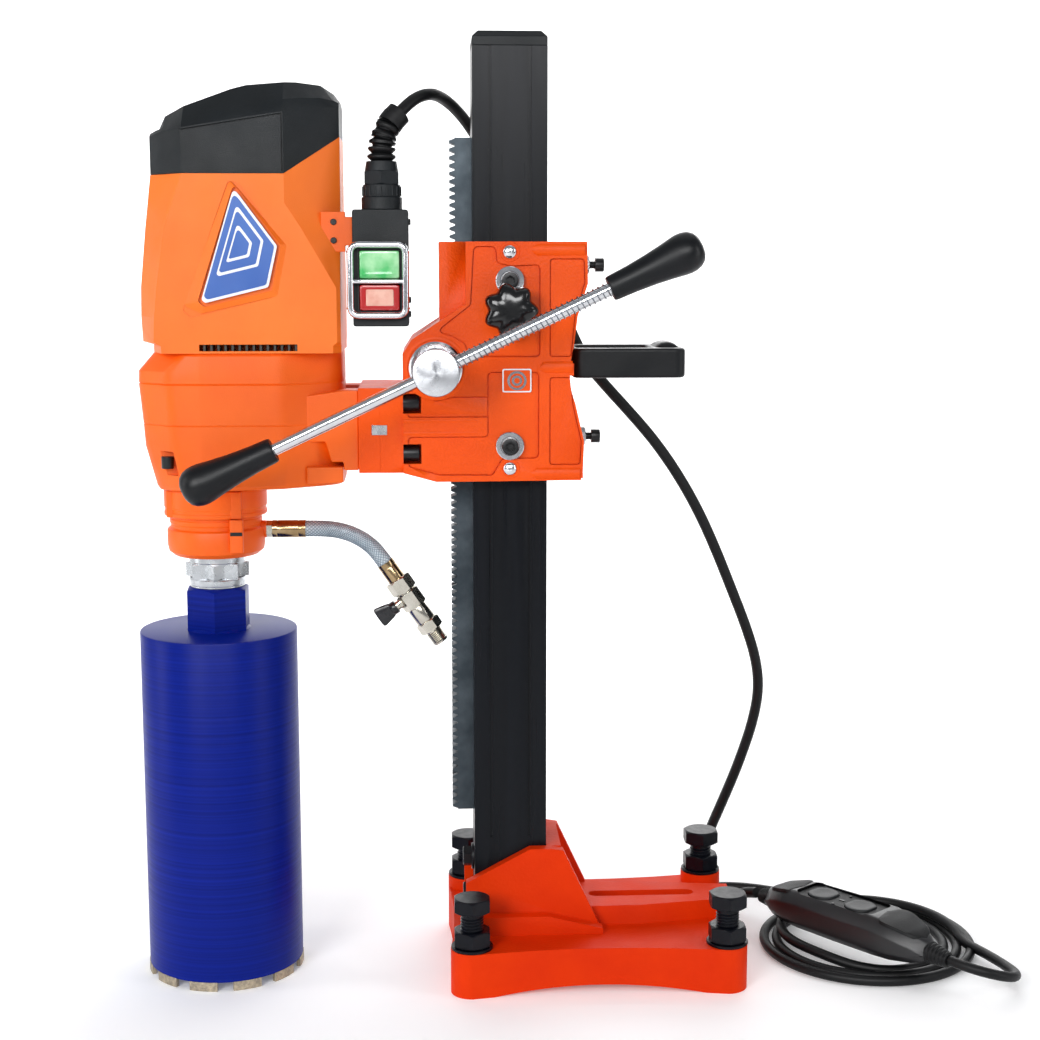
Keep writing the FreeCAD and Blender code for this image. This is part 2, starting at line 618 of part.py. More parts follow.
# ---------------------------------------------------------------- drill motor

def motor_plan(inset):
    """The housing's plan: flat front and back, with a long facet towards the carriage."""
    half, back = d.motor_half - inset, 30
    return [(d.motor_left + inset, -back), (d.facet_left, -half), (d.facet_right, -half),
            (d.motor_right - inset, -back - 8), (d.motor_right - inset, back + 8),
            (d.facet_right, half), (d.facet_left, half), (d.motor_left + inset, back)]


def bearing_seats(extra=0):
    return [Circle(d.motor_x, 0, 14 + extra), Circle(d.spindle_x, 0, 15 + extra),
            Circle(d.idler_x, d.idler_y, 12 + extra)]


def motor_housing():
    """The shell round the stator, with its floor that carries three bearings."""
    body = new_body("motor_housing")
    split, high = d.housing_split, d.split_right
    front = [(d.motor_left, d.housing_low), (d.motor_right, d.housing_low), (d.motor_right, high),
             (d.facet_right, split), (d.motor_left + 12, split), (d.motor_left, split - 100)]
    pad(body, "XZ", [front], -d.motor_half, d.motor_half)
    block = rectangle(d.motor_left - 5, d.motor_right + 5, -d.motor_half - 5, d.motor_half + 5)
    pocket(body, "XY", [block, motor_plan(as_size(0))], d.housing_low, high)
    pocket(body, "XY", [motor_plan(d.shell)], d.housing_low + 10, high)
    pocket(body, "XY", bearing_seats(CLOSE), d.housing_low, d.housing_low + 10)
    vents = [rectangle(-306 + 8.6 * i, -302 + 8.6 * i, 662, 669) for i in range(12)]
    pocket(body, "XZ", vents, -d.motor_half - 1, -d.motor_half + d.shell + 1)
    return body


def motor_top_cap():
    """The black end cover, with a sloped crown and the rotor's upper bearing seat."""
    body = new_body("motor_top_cap")
    split, high = d.housing_split, d.split_right
    front = [(d.motor_left + 12, split), (d.facet_right, split), (d.motor_right, high),
             (d.motor_right, 903), (-186, 915), (-210, 918), (-258, 914), (-341, 885),
             (d.motor_left + 18, 872)]
    pad(body, "XZ", [front], -d.motor_half, d.motor_half)
    block = rectangle(d.motor_left - 5, d.motor_right + 5, -d.motor_half - 5, d.motor_half + 5)
    pocket(body, "XY", [block, motor_plan(as_size(0))], split, 920)
    pocket(body, "XY", [motor_plan(d.shell)], split, high)
    pocket(body, "XY", [Circle(d.motor_x, 0, 14 + CLOSE)], high - 1, high + 10)


def gearbox_housing():
    """The gear case below the motor, with the lugs that meet the mounting plate."""
    body = new_body("gearbox_housing")
    low, high = d.gearbox_low, d.housing_low
    case = [(-357, low), (d.motor_right, low + 6), (d.motor_right, high), (-358, high), (-373.5, 637),
            (-374, 624), (-369, 561)]
    pad(body, "XZ", [case], -d.motor_half, d.motor_half)
    block = rectangle(-380, d.motor_right + 5, -d.motor_half - 5, d.motor_half + 5)
    plan = [(-374, -34), (-340, -66), (d.facet_left + 10, -d.motor_half), (d.facet_right, -d.motor_half),
            (d.motor_right, -38), (d.motor_right, 38), (d.facet_right, d.motor_half),
            (d.facet_left + 10, d.motor_half), (-340, 66), (-374, 34)]
    pocket(body, "XY", [block, plan], low, high)
    lug = rectangle(as_size(-200), d.plate_left, d.flange_bottom + 2, d.flange_top - 2)
    for y in (-1, 1):
        ends = sorted((y * 26, y * 57))
        pad(body, "XZ", [lug], ends[0], ends[1])
    pocket(body, "XY", [Circle(-284, 0, 61)], low + 16, high)
    pocket(body, "XY", [Circle(d.spindle_x, 0, 20)], low, low + 20)
    pocket(body, "XY", [Circle(d.idler_x, d.idler_y, 11 + CLOSE)], low + 7, low + 17)


def nose():
    """The flanged nose with the spindle's lower bearing, and the water collar below it."""
    body = new_body("nose_housing")
    bearing = 26 + CLOSE
    revolve(body, [(bearing, d.nose_low), (d.nose_radius, d.nose_low), (d.nose_radius, d.gearbox_low),
                   (20, d.gearbox_low), (20, d.gearbox_low - 8), (bearing, d.gearbox_low - 8)])
    place(body, d.spindle_x, 0, 0)
    collar = new_body("water_collar")
    bore = d.spindle_radius + 0.1
    revolve(collar, [(bore, d.collar_low + 9), (bore + 6, d.collar_low + 9), (bore + 6, d.collar_low),
                     (d.collar_radius, d.collar_low), (d.collar_radius, d.collar_high),
                     (d.collar_neck, d.collar_high), (d.collar_neck, d.nose_low), (bore, d.nose_low)])
    pad(collar, "YZ", [Circle(0, d.inlet_z, 9)], d.collar_neck - 6, d.collar_radius + 2)
    pocket(collar, "YZ", [Circle(0, d.inlet_z, 4)], d.spindle_radius, d.collar_radius + 2)
    place(collar, d.spindle_x, 0, 0)
    seal = new_body("shaft_seal")
    revolve(seal, tube_outline(d.spindle_radius + CLOSE, bore + 6, d.collar_low + 1, d.collar_low + 9))
    place(seal, d.spindle_x, 0, 0)


def bearings():
    """Six ball bearings, drawn as closed rings: two on each shaft."""
    rings = []
    low = d.gearbox_low.value
    floor = d.housing_low.value
    spots = [(d.spindle_x.value, 0, 12.5, 26, low - 22, 13), (d.spindle_x.value, 0, 7.5, 15, floor, 9),
             (d.idler_x.value, d.idler_y.value, 5, 11, low + 7, 8),
             (d.idler_x.value, d.idler_y.value, 5, 12, floor, 9), (d.motor_x.value, 0, 6, 14, floor, 9),
             (d.motor_x.value, 0, 6, 14, d.split_right.value, 8)]
    for x, y, inner, outer, bottom, height in spots:
        ring = Part.makeCylinder(outer, height, Vector(x, y, bottom))
        rings.append(ring.cut(Part.makeCylinder(inner + 0.03, height, Vector(x, y, bottom))))
    put("bearings", Part.makeCompound(rings))


def stator():
    body = new_body("stator")
    revolve(body, tube_outline(d.stator_bore, d.stator_radius, d.stator_low, d.stator_high))
    place(body, d.motor_x, 0, 0)


def gear(module, teeth, low, high, x, y, turn=0.0):
    """An involute spur gear; its first tooth points along +X turned by the given degrees."""
    builder = FCWireBuilder()
    involute.CreateExternalGear(builder, module, int(teeth), 20.0, False)
    face = Part.Face(Part.Wire([edge.toShape() for edge in builder.wire]))
    solid = face.extrude(Vector(0, 0, high - low))
    solid.Placement = Placement(Vector(x, y, low), Rotation(Vector(0, 0, 1), turn))
    return solid


def shaft(radius, low, high, x, y):
    return Part.makeCylinder(radius, high - low, Vector(x, y, low))


def drive_train():
    """Rotor with its fan and pinion, the intermediate shaft, and the spindle with its gear."""
    rotor_x, spindle_x, idler_x, idler_y = [size.value for size in (d.motor_x, d.spindle_x, d.idler_x, d.idler_y)]
    low, high = d.mesh_low.value, d.mesh_high.value
    upper = high + 14
    to_idler = math.degrees(math.atan2(idler_y, idler_x - rotor_x))
    rotor = merged(shaft(6, d.housing_low.value, 874, rotor_x, 0),
                   gear(d.first_module.value, d.first_pinion.value, upper, d.housing_low.value, rotor_x, 0, to_idler),
                   shaft(d.armature_radius.value, d.stator_low.value + 2, d.stator_high.value - 2, rotor_x, 0),
                   shaft(52, 674, 686, rotor_x, 0), shaft(17, d.stator_high.value - 3, 826, rotor_x, 0))
    put("rotor", rotor)
    teeth = d.first_gear.value
    facing = to_idler + 180
    turn = facing + 180 / teeth
    wheel = gear(d.first_module.value, teeth, upper, upper + 16, idler_x, idler_y, turn)
    to_spindle = math.degrees(math.atan2(-idler_y, spindle_x - idler_x))
    small = gear(d.second_module.value, d.second_pinion.value, low - 2, high + 2, idler_x, idler_y, to_spindle)
    idler = merged(shaft(5, d.gearbox_low.value + 8, d.housing_low.value + 9, idler_x, idler_y),
                   shaft(8, low - 10, upper + 20, idler_x, idler_y), wheel, small)
    put("intermediate_gear", idler)
    teeth = d.second_gear.value
    turn = to_spindle + 180 + 180 / teeth
    hub_x = spindle_x
    spindle = merged(
        gear(d.second_module.value, teeth, low, high, hub_x, 0, turn),
        shaft(7.5, upper - 6, d.housing_low.value + 9, hub_x, 0), shaft(14, 508, upper - 4, hub_x, 0),
        shaft(12.5, 486, 510, hub_x, 0), shaft(d.spindle_radius.value, d.collar_low.value - 1, 487, hub_x, 0),
        shaft(d.flange_radius.value, 436, 444.5, hub_x, 0),
        Part.makeBox(46, 46, 16, Vector(hub_x - 23, -23, 420.5)),
        shaft(d.flange_radius.value, d.hub_top.value + 0.5, 421, hub_x, 0),
        shaft(d.thread_radius.value, d.bit_top.value + 14, 415, hub_x, 0))
    passage = shaft(4, 300, 480, hub_x, 0)
    cross = Part.makeCylinder(3, 20, Vector(hub_x, 0, d.inlet_z.value), Vector(1, 0, 0))
    put("spindle", spindle.cut([passage, cross]))


def core_bit():
    """A steel barrel with a closed top and a threaded hexagon hub, and its diamond segments."""
    body = new_body("core_bit")
    wall_inner = d.bit_radius - d.bit_wall
    bore = d.thread_radius + CLOSE
    revolve(body, [(bore, d.bit_top - 8), (wall_inner, d.bit_top - 8), (wall_inner, d.segment_height),
                   (d.bit_radius, d.segment_height), (d.bit_radius, d.bit_top), (bore, d.bit_top)])
    pad(body, "XY", [hexagon(as_size(0), as_size(0), d.hub_flats), Circle(0, 0, bore)], d.bit_top - 1, d.hub_top)
    place(body, d.spindle_x, 0, 0)
    outer = d.bit_radius.value + d.segment_extra.value
    inner = wall_inner.value - d.segment_extra.value
    height = d.segment_height.value
    ring = Part.makeCylinder(outer, height).cut(Part.makeCylinder(inner, height))
    segments = []
    for index in range(int(d.segment_teeth.value)):
        block = Part.makeBox(20, d.segment_length.value, height, Vector(70, -d.segment_length.value / 2, 0))
        piece = ring.common(block)
        piece.rotate(Vector(0, 0, 0), Vector(0, 0, 1), 360 / d.segment_teeth.value * (index + 0.25))
        piece.translate(Vector(d.spindle_x.value, 0, 0))
        segments.append(piece)
    put("bit_segments", Part.makeCompound(segments))


def cap_screws():
    """The small cap screws: under the gear case, on the switch bracket and in the handle."""
    body = new_body("cap_screws")
    case = [Circle(x, y, 5) for x, y in ((-341, -50), (-341, 50), (-262, -52), (-262, 52))]
    pad(body, "XY", case, d.gearbox_low - 5, d.gearbox_low)
    bracket = [Circle(-180, z, 3) for z in (765, 782)]
    pad(body, "XZ", bracket, -60, -58)
    handle = [Circle(y, z, 4) for y in (-14, 14) for z in (d.handle_low + 11, )]
    pad(body, "YZ", handle, d.arm_left + 7, d.arm_left + 11)


# ---------------------------------------------------------------- feed bar and hub

def feed_shaft():
    """The cross shaft with the pinion that climbs the rack, and the hub that holds the bar."""
    centre = Vector(d.feed_x.value, 0, d.feed_z.value)
    pinion = gear(d.rack_module.value, d.pinion_teeth.value, -13, 13, 0, 0)
    pinion.Placement = Placement(centre, Rotation(Vector(1, 0, 0), 90)) * pinion.Placement
    reach = -d.bar_y.value
    rod = Part.makeCylinder(d.shaft_radius.value, 74 + reach - 22, Vector(centre.x, 20 - reach, centre.z), Vector(0, 1, 0))
    hub = Part.makeCylinder(19, 40, Vector(centre.x, -reach - 10, centre.z), Vector(0, 1, 0))
    disc = Part.makeCylinder(d.disc_radius.value, 6, Vector(centre.x, -reach - 15, centre.z), Vector(0, 1, 0))
    tilt = math.radians(d.bar_tilt.value)
    along_bar = Vector(math.cos(tilt), 0, math.sin(tilt))
    bore = Part.makeCylinder(d.bar_radius.value + 0.02, 80, Vector(centre.x, d.bar_y.value, centre.z) - along_bar * 40, along_bar)
    put("feed_shaft", merged(rod, pinion, hub, disc).cut(bore))
    ring = new_body("hub_ring")
    revolve(ring, tube_outline(d.shaft_radius + CLOSE, d.ring_radius - CLOSE, 0, d.ring_depth + 1))
    place(ring, d.feed_x, d.ring_depth - d.cheek_near, d.feed_z, Vector(0, -1, 0))


def feed_bar():
    """The straight bar through the hub, two tapered grips and the fine spring on the long side."""
    tilt = math.radians(d.bar_tilt.value)
    axis = Vector(math.cos(tilt), 0, math.sin(tilt))
    middle = Vector(d.feed_x.value, d.bar_y.value, d.feed_z.value)
    bar = new_body("feed_bar")
    revolve(bar, [(0, d.bar_shift - d.bar_half), (d.bar_radius, d.bar_shift - d.bar_half),
                  (d.bar_radius, d.bar_shift + d.bar_half), (0, d.bar_shift + d.bar_half)])
    place(bar, d.feed_x, d.bar_y, d.feed_z, axis)
    grips = []
    length, small, large, bore = [size.value for size in (d.grip_length, d.grip_small, d.grip_large, d.bar_radius)]
    for side in (-1, 1):
        end = middle + axis * (d.bar_shift.value + side * d.bar_half.value)
        start = end - axis * side * (length - large - 4)
        cone = Part.makeCone(small, large, length - large - 2, start, axis * side)
        ball = Part.makeSphere(large, start + axis * side * (length - large - 2))
        hole = Part.makeCylinder(bore + CLOSE, length - large - 4 + 0.2, start - axis * side * 0.1, axis * side)
        grips.append(cone.fuse(ball).cut(hole))
    put("feed_grips", Part.makeCompound(grips))
    spring = new_body("bar_spring")
    spring_end = d.bar_shift + d.bar_half - d.grip_length + 21
    revolve(spring, tube_outline(d.bar_radius + CLOSE, d.spring_radius, 20, spring_end))
    place(spring, d.feed_x, d.bar_y, d.feed_z, axis)


# ---------------------------------------------------------------- switch

def switch():
    """The switch box on its bracket, the wire guard round its buttons, and the gland."""
    bracket = new_body("switch_bracket")
    pad(bracket, "XZ", [rectangle(-187, -163, 754, 793)], -58, -52)
    boss = [(-187, -53), (-172, -53), (-172, -40.2), (-187, -48.2)]
    pad(bracket, "XY", [boss], 756, 791)
    pad(bracket, "XZ", [rectangle(as_size(-164), d.box_left, as_size(760), as_size(788))], -58, -52)
    box = new_body("switch_box")
    pad(box, "XZ", [rectangle(d.box_left, d.box_right, d.box_low, d.box_high)], d.box_front, d.box_back)
    dress(box, "Fillet", 3, lambda edge: along(edge, Vector(0, 1, 0)))
    start = rectangle(d.button_left - 0.4, d.button_right + 0.4, d.start_low - 0.4, d.start_high + 0.4)
    stop = rectangle(d.button_left - 0.4, d.button_right + 0.4, d.stop_low - 0.4, d.stop_high + 0.4)
    pocket(box, "XZ", [start, stop], d.box_front, d.box_front + 16)
    cover = new_body("switch_cover")
    outer = rectangle(d.box_left - 6, d.box_right + 1, d.cover_low, d.cover_high)
    inner = rectangle(d.box_left + 4, d.box_right - 6, d.cover_low + 5, d.cover_high - 6)
    pad(cover, "XZ", [outer, inner], d.box_front - 7, d.box_front)
    for name, low, high in (("start_button", d.start_low, d.start_high), ("stop_button", d.stop_low, d.stop_high)):
        button = new_body(name)
        pad(button, "XZ", [rectangle(d.button_left, d.button_right, low, high)], d.box_front - 4, d.box_front + 11)
    gland_x, gland_y = -127, -50
    gland = new_body("cable_gland")
    revolve(gland, [(6.2, 0), (20, 0), (20, 12), (18.5, 13), (18.5, 23), (17.5, 24), (17.5, 37), (15, 47),
                    (6.2, 47)])
    place(gland, gland_x, gland_y, d.box_high)


STRAIN_RELIEF = [
    (-127, -50, 842), (-127, -50, 854), (-125, -49.3, 866), (-119, -47, 878), (-109, -43, 889)]
LEAD_ON_CARRIAGE = [
    (-109, -43, 889), (-99.4, -36, 899.7), (-87.6, -23.5, 907.7), (-76.5, -5.5, 911), (-66.5, 14, 909),
    (-55, 33, 902), (-42, 51, 889.5), (-28, 66, 870), (-12, 77, 843), (5, 83.7, 809),
    (24, 87.9, 771), (43, 90, 733), (60, 90.5, 697), (73, 90.5, 668)]
LEAD_HANGING = [
    (73, 90.5, 668), (86, 90.5, 639), (109, 94, 612), (137, 98, 582), (166, 102, 549), (193, 107, 511),
    (217, 113, 470), (238, 120, 426), (258, 128, 379), (277, 136, 334), (292, 145, 291), (297, 152, 253),
    (292, 160, 213), (281, 168, 171), (268.5, 176, 131), (255, 184, 93)]
LEAD_LANDING = [
    (255, 184, 93), (245.55, 189.6, 66.4), (243.5, 189.5, 46.5), (243.3, 182, 27.5), (244.7, 167.5, 13.5),
    (248.4, 148.7, 8), (254.2, 129.6, 9.8), (261.1, 114.1, 17.2), (268.4, 102.3, 25.5),
    (276.6, 91.4, 31.9), (285.1, 80.7, 35)]
MAINS_FROM_GUARD = [
    (446.9, -122.7, 35), (456.2, -134.4, 34.5), (470.8, -143.2, 32), (488.7, -144.8, 27.5),
    (505.4, -138.1, 22), (517.2, -124.5, 17), (521.6, -107, 13.5), (519.9, -87.1, 11.5),
    (514.5, -63.7, 10.5), (505.7, -38.2, 10), (494.3, -12.6, 10)]
MAINS_TO_PLUG = [
    (372, 127, 7), (350, 145, 5.6), (326, 161, 5.6), (301, 174, 5.6), (275, 182, 5.6), (248, 181, 5.6),
    (221, 172, 5.6), (195, 161, 5.6), (168, 154, 5.8), (141, 150.5, 7), (116, 147.5, 10), (94, 145.5, 13),
    (74, 145, 14)]
HOSE = [
    (-211, 0, 470), (-195, 0, 470), (-179.1, 0, 468.5), (-163.7, 0, 464.1), (-149.6, 0, 456.4),
    (-137.7, 0, 445.7), (-128.7, 0, 432.5)]


def rounded_path(points, name):
    """Straight runs joined by tangent arcs; prints the least radius and returns wire and length."""
    points = [Vector(*point) for point in points]
    edges, start, radii = [], points[0], []
    for before, corner, after in zip(points, points[1:], points[2:]):
        into, out = corner - before, after - corner
        turn = into.getAngle(out)
        cut = 0.45 * min(into.Length, out.Length)
        radii.append(cut / math.tan(turn / 2))
        first = corner - into.normalize() * cut
        last = corner + out.normalize() * cut
        towards = (first + last) / 2 - corner
        sagitta = radii[-1] * (1 / math.cos(turn / 2) - 1)
        middle = corner + towards.normalize() * sagitta
        edges.append(Part.LineSegment(start, first).toShape())
        edges.append(Part.Arc(first, middle, last).toShape())
        start = last
    edges.append(Part.LineSegment(start, points[-1]).toShape())
    wire = Part.Wire(edges)
    print(f"{name}: length {wire.Length:.0f}, least radius {min(radii):.0f}")
    return wire


def tube(name, points, radius):
    """A round solid along a route, with its volume compared with section times length."""
    wire = rounded_path(points, name)
    start = Vector(*points[0])
    profile = Part.Wire([Part.makeCircle(radius, start, Vector(*points[1]) - start)])
    solid = wire.makePipeShell([profile], True, True)
    expected = math.pi * radius ** 2 * wire.Length
    if abs(solid.Volume / expected - 1) > 0.01:
        raise RuntimeError(f"{name} has volume {solid.Volume:.0f}, not {expected:.0f}")
    return solid


def boot():
    """The ribbed strain relief: a plain bent sleeve out of the gland."""
    path = rounded_path(STRAIN_RELIEF, "strain_relief")
    ring = Part.makeCircle(13, Vector(*STRAIN_RELIEF[0]), Vector(0, 0, 1))
    put("strain_relief", path.makePipeShell([Part.Wire([ring])], True, True))


def leads():
    """The motor's lead to the residual current guard, and the mains lead with its coil."""
    lead, mains = d.lead_radius.value, d.mains_radius.value
    put("motor_lead_upper", tube("motor_lead_upper", LEAD_ON_CARRIAGE, lead))
    put("motor_lead_hanging", tube("motor_lead_hanging", LEAD_HANGING, lead))
    put("motor_lead_landing", tube("motor_lead_landing", LEAD_LANDING, lead))
    stretches = [tube("mains_lead, first stretch", MAINS_FROM_GUARD, mains),
                 tube("mains_lead, last stretch", MAINS_TO_PLUG, mains)]
    put("mains_lead", Part.makeCompound(stretches))
    coil = new_body("mains_coil")
    revolve(coil, tube_outline(d.coil_radius - d.coil_band, d.coil_radius, 0.1, d.coil_height))
    place(coil, d.coil_x, d.coil_y, 0)


def guard():
    """The residual current guard in the lead: a waisted case with two push buttons."""
    case = new_body("guard_housing")
    half, end = d.guard_half, d.guard_half_length
    tip, nose = end + d.guard_nose, d.guard_nose_half
    plan = [(-end, -nose - 6), (34 - end, -half), (end - 34, -half), (end, -nose - 6), (end, nose + 6),
            (end - 34, half), (34 - end, half), (-end, nose + 6)]
    pad(case, "XY", [plan], d.guard_low, d.guard_high)
    pad(case, "XY", [rectangle(-tip, tip, -nose, nose)], d.guard_low, d.guard_nose_high)
    well = rectangle(d.guard_button_left - 28, d.guard_button_right + 28, 7 - half, half - 7)
    pocket(case, "XY", [well], d.guard_high - 7, d.guard_high)
    spots = (d.guard_button_left, d.guard_button_right)
    seats = [Circle(x, 0, d.guard_button + 0.4) for x in spots]
    pocket(case, "XY", seats, d.guard_high - 15, d.guard_high - 7)
    set_down(case)
    for name, x in zip(("guard_test_button", "guard_reset_button"), spots):
        button = new_body(name)
        pad(button, "XY", [Circle(x, 0, d.guard_button)], d.guard_high - 12, d.guard_high - 2)
        set_down(button)


def set_down(item):
    """Turns a piece of the guard in plan and sets it on the coil."""
    item.Placement = Placement(Vector(0, 0, 0), Rotation(Vector(0, 0, 1), d.guard_turn.value))
    bind(item, "Placement.Base.x", d.guard_x)
    bind(item, "Placement.Base.y", d.guard_y)


def plug():
    """A moulded plug with two round pins, lying on its flat side."""
    body = new_body("mains_plug")
    x, y, half, high = d.plug_x, d.plug_y, d.plug_half_width, d.plug_height
    plan = [(x - d.plug_length, y - half), (x - 14, y - half), (x, y - 9), (x, y + 9), (x - 14, y + half),
            (x - d.plug_length, y + half)]
    pad(body, "XY", [plan], 0.2, high)
    pins = [Circle(y + side * 9.5, high * 0.5, d.plug_pin) for side in (-1, 1)]
    pad(body, "YZ", pins, x - d.plug_length - 19, x - d.plug_length + 1)


def along_valve(distance, across=0.0):
    """A point on the valve's axis, or beside it on the side of its stem."""
    slope = math.radians(d.valve_slope.value)
    ahead, aside = Vector(math.cos(slope), 0, -math.sin(slope)), Vector(-math.sin(slope), 0, -math.cos(slope))
    return Vector(d.valve_x.value, 0, d.valve_z.value) + ahead * distance + aside * across


def turned(radius, start, end):
    """A round bar between two points."""
    return Part.makeCylinder(radius, (end - start).Length, start, end - start)


def hexagonal(half_flats, start, end):
    """A hexagonal bar between two points."""
    rim = [Vector(0, 0, 0) + Rotation(Vector(0, 0, 1), 60 * i).multVec(Vector(half_flats / math.cos(math.pi / 6), 0, 0))
           for i in range(7)]
    bar = Part.Face(Part.makePolygon(rim)).extrude(Vector(0, 0, (end - start).Length))
    bar.Placement = Placement(start, Rotation(Vector(0, 0, 1), end - start))
    return bar


def water_supply():
    """A short braided hose from the collar's inlet to a ball valve with a wing and a nipple."""
    inlet = Vector(d.spindle_x.value + d.collar_radius.value + 2, 0, d.inlet_z.value)
    right = Vector(1, 0, 0)
    nut_end, hose_start = inlet + right * 6, Vector(*HOSE[0])
    radius, flats = d.ferrule_radius.value, d.valve_flats.value
    first = merged(hexagonal(d.fitting_nut.value, inlet, nut_end), turned(radius, nut_end, hose_start))
    second = turned(radius, along_valve(0), along_valve(20))
    put("hose_ferrules", Part.makeCompound([first, second]))
    put("water_hose", tube("water_hose", HOSE, d.hose_radius.value))
    nipple = d.nipple_length.value
    body = merged(hexagonal(flats + 1, along_valve(20), along_valve(36)),
                  hexagonal(flats, along_valve(36), along_valve(74)),
                  hexagonal(flats + 0.5, along_valve(74), along_valve(86)),
                  turned(d.nipple_radius.value, along_valve(86), along_valve(86 + nipple)))
    stem = 44
    seat = turned(4.5, along_valve(stem), along_valve(stem, 15))
    bore = turned(4, along_valve(60), along_valve(86 + nipple))
    put("valve_body", body.fuse(seat).cut([bore, turned(2.5, along_valve(stem, 9), along_valve(stem, 15))]))
    pin = turned(2.45, along_valve(stem, 9.2), along_valve(stem, 18))
    hub = turned(6, along_valve(stem, 15.1), along_valve(stem, 24))
    wing = Part.makeBox(22, 5, 20, Vector(-11, -2.5, 0))
    wing.Placement = Placement(along_valve(stem, 20), Rotation(Vector(0, 0, 1), along_valve(0, 1) - along_valve(0)))
    put("valve_lever", merged(pin, hub, wing))


def main():
    for make in (base_casting, column, rack_screw_holes, column_bolts, levelling, carriage_casting,
                 slide_pads, carriage_screws, lock_knob, carry_handle, motor_mount,
                 motor_housing, motor_top_cap, gearbox_housing, nose, bearings, stator, drive_train,
                 core_bit, cap_screws, feed_shaft, feed_bar, switch, boot, leads, guard, plug,
                 water_supply):
        make()
    finish()


def finish():
    """Checks every object, then writes one STEP file for each sub-part."""
    doc.recompute()
    for item in doc.Objects:
        if {"Invalid", "Error"} & set(item.State):
            raise RuntimeError(f"{item.Label} failed: {item.State}")
    os.makedirs("parts", exist_ok=True)
    for name, item in pieces.items():
        shape = item.Shape
        if shape.isNull() or not shape.isValid() or not shape.Solids:
            raise RuntimeError(f"{name} has no valid solid")
        shape.exportStep(f"parts/{name}.step")
    print(f"{len(pieces)} sub-parts")


main()
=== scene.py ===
"""Looks for the core drill rig: materials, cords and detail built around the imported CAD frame.

Lengths are millimetres in the rig's frame. MM and RIG take them to metres. The camera, the lights
and the floor are in metres.
"""

import json
import math

import bmesh
import bpy
from mathutils import Matrix, Vector


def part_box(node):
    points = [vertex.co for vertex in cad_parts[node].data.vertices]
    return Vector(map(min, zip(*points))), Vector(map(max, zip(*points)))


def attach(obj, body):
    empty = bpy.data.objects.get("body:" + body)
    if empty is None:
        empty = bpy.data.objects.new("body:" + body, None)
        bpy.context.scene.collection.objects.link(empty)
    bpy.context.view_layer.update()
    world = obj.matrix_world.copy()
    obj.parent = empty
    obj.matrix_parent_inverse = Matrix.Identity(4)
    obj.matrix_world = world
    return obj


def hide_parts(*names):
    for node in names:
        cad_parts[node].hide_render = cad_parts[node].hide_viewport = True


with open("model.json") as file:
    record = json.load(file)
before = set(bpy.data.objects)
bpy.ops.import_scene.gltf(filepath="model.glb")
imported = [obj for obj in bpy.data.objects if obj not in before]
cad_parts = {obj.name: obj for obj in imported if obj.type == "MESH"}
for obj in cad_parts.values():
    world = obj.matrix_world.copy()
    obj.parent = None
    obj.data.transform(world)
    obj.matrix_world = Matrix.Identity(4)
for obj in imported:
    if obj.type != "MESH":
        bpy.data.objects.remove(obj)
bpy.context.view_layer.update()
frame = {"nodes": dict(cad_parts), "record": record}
NODES = frame["nodes"]
SLOTS = {row["node"]: row["material_slot"] for row in frame["record"]["subparts"]}
MM = 0.001
RIG = Matrix.Scale(MM, 4)
METRES = Matrix.Identity(4)
UP = Vector((0, 0, 1))
BACK = Vector((0, 1, 0))

SPINDLE_X = -303
MOTOR_BACK, MOTOR_HALF = -168.3, 70
FEED_X, FEED_Z = -75.15, 640
SCREWS_X = -1.5
KNOB = (-1.5, -79.5, 697)
GLAND_X, GLAND_Y = -127, -50
COIL_X, COIL_Y = 390, 8
GUARD, GUARD_TURN = (366, -21, 0), math.radians(-51.5)
HOSE_START, HOSE_END = (-211, 0, 470), (-128.7, 0, 432.5)
VALVE_SLOPE = math.radians(55.5)
VALVE_AXIS = Vector((math.cos(VALVE_SLOPE), 0, -math.sin(VALVE_SLOPE)))


# ---- camera, floor and light ------------------------------------------------
def aim(item, place, target):
    item.location = place
    item.rotation_mode = "QUATERNION"
    item.rotation_quaternion = (Vector(target) - Vector(place)).to_track_quat("-Z", "Y")


def link(name, data):
    item = bpy.data.objects.new(name, data)
    bpy.context.scene.collection.objects.link(item)
    return item


def add_camera():
    eye = Vector((-0.0827, -1.8075, 0.746))
    yaw, pitch = math.radians(3.0), math.radians(8.45)
    ahead = Vector((math.sin(yaw) * math.cos(pitch), math.cos(yaw) * math.cos(pitch), -math.sin(pitch)))
    data = bpy.data.cameras.new("camera")
    data.lens = 60.58
    data.sensor_width = 36
    data.clip_start, data.clip_end = 0.02, 60
    camera = link("camera", data)
    aim(camera, eye, eye + ahead)
    bpy.context.scene.camera = camera


def add_light(name, place, target, size, power):
    data = bpy.data.lights.new(name, "AREA")
    data.shape = "RECTANGLE"
    data.size, data.size_y = size
    data.energy = power
    light = link(name, data)
    aim(light, place, target)
    return light


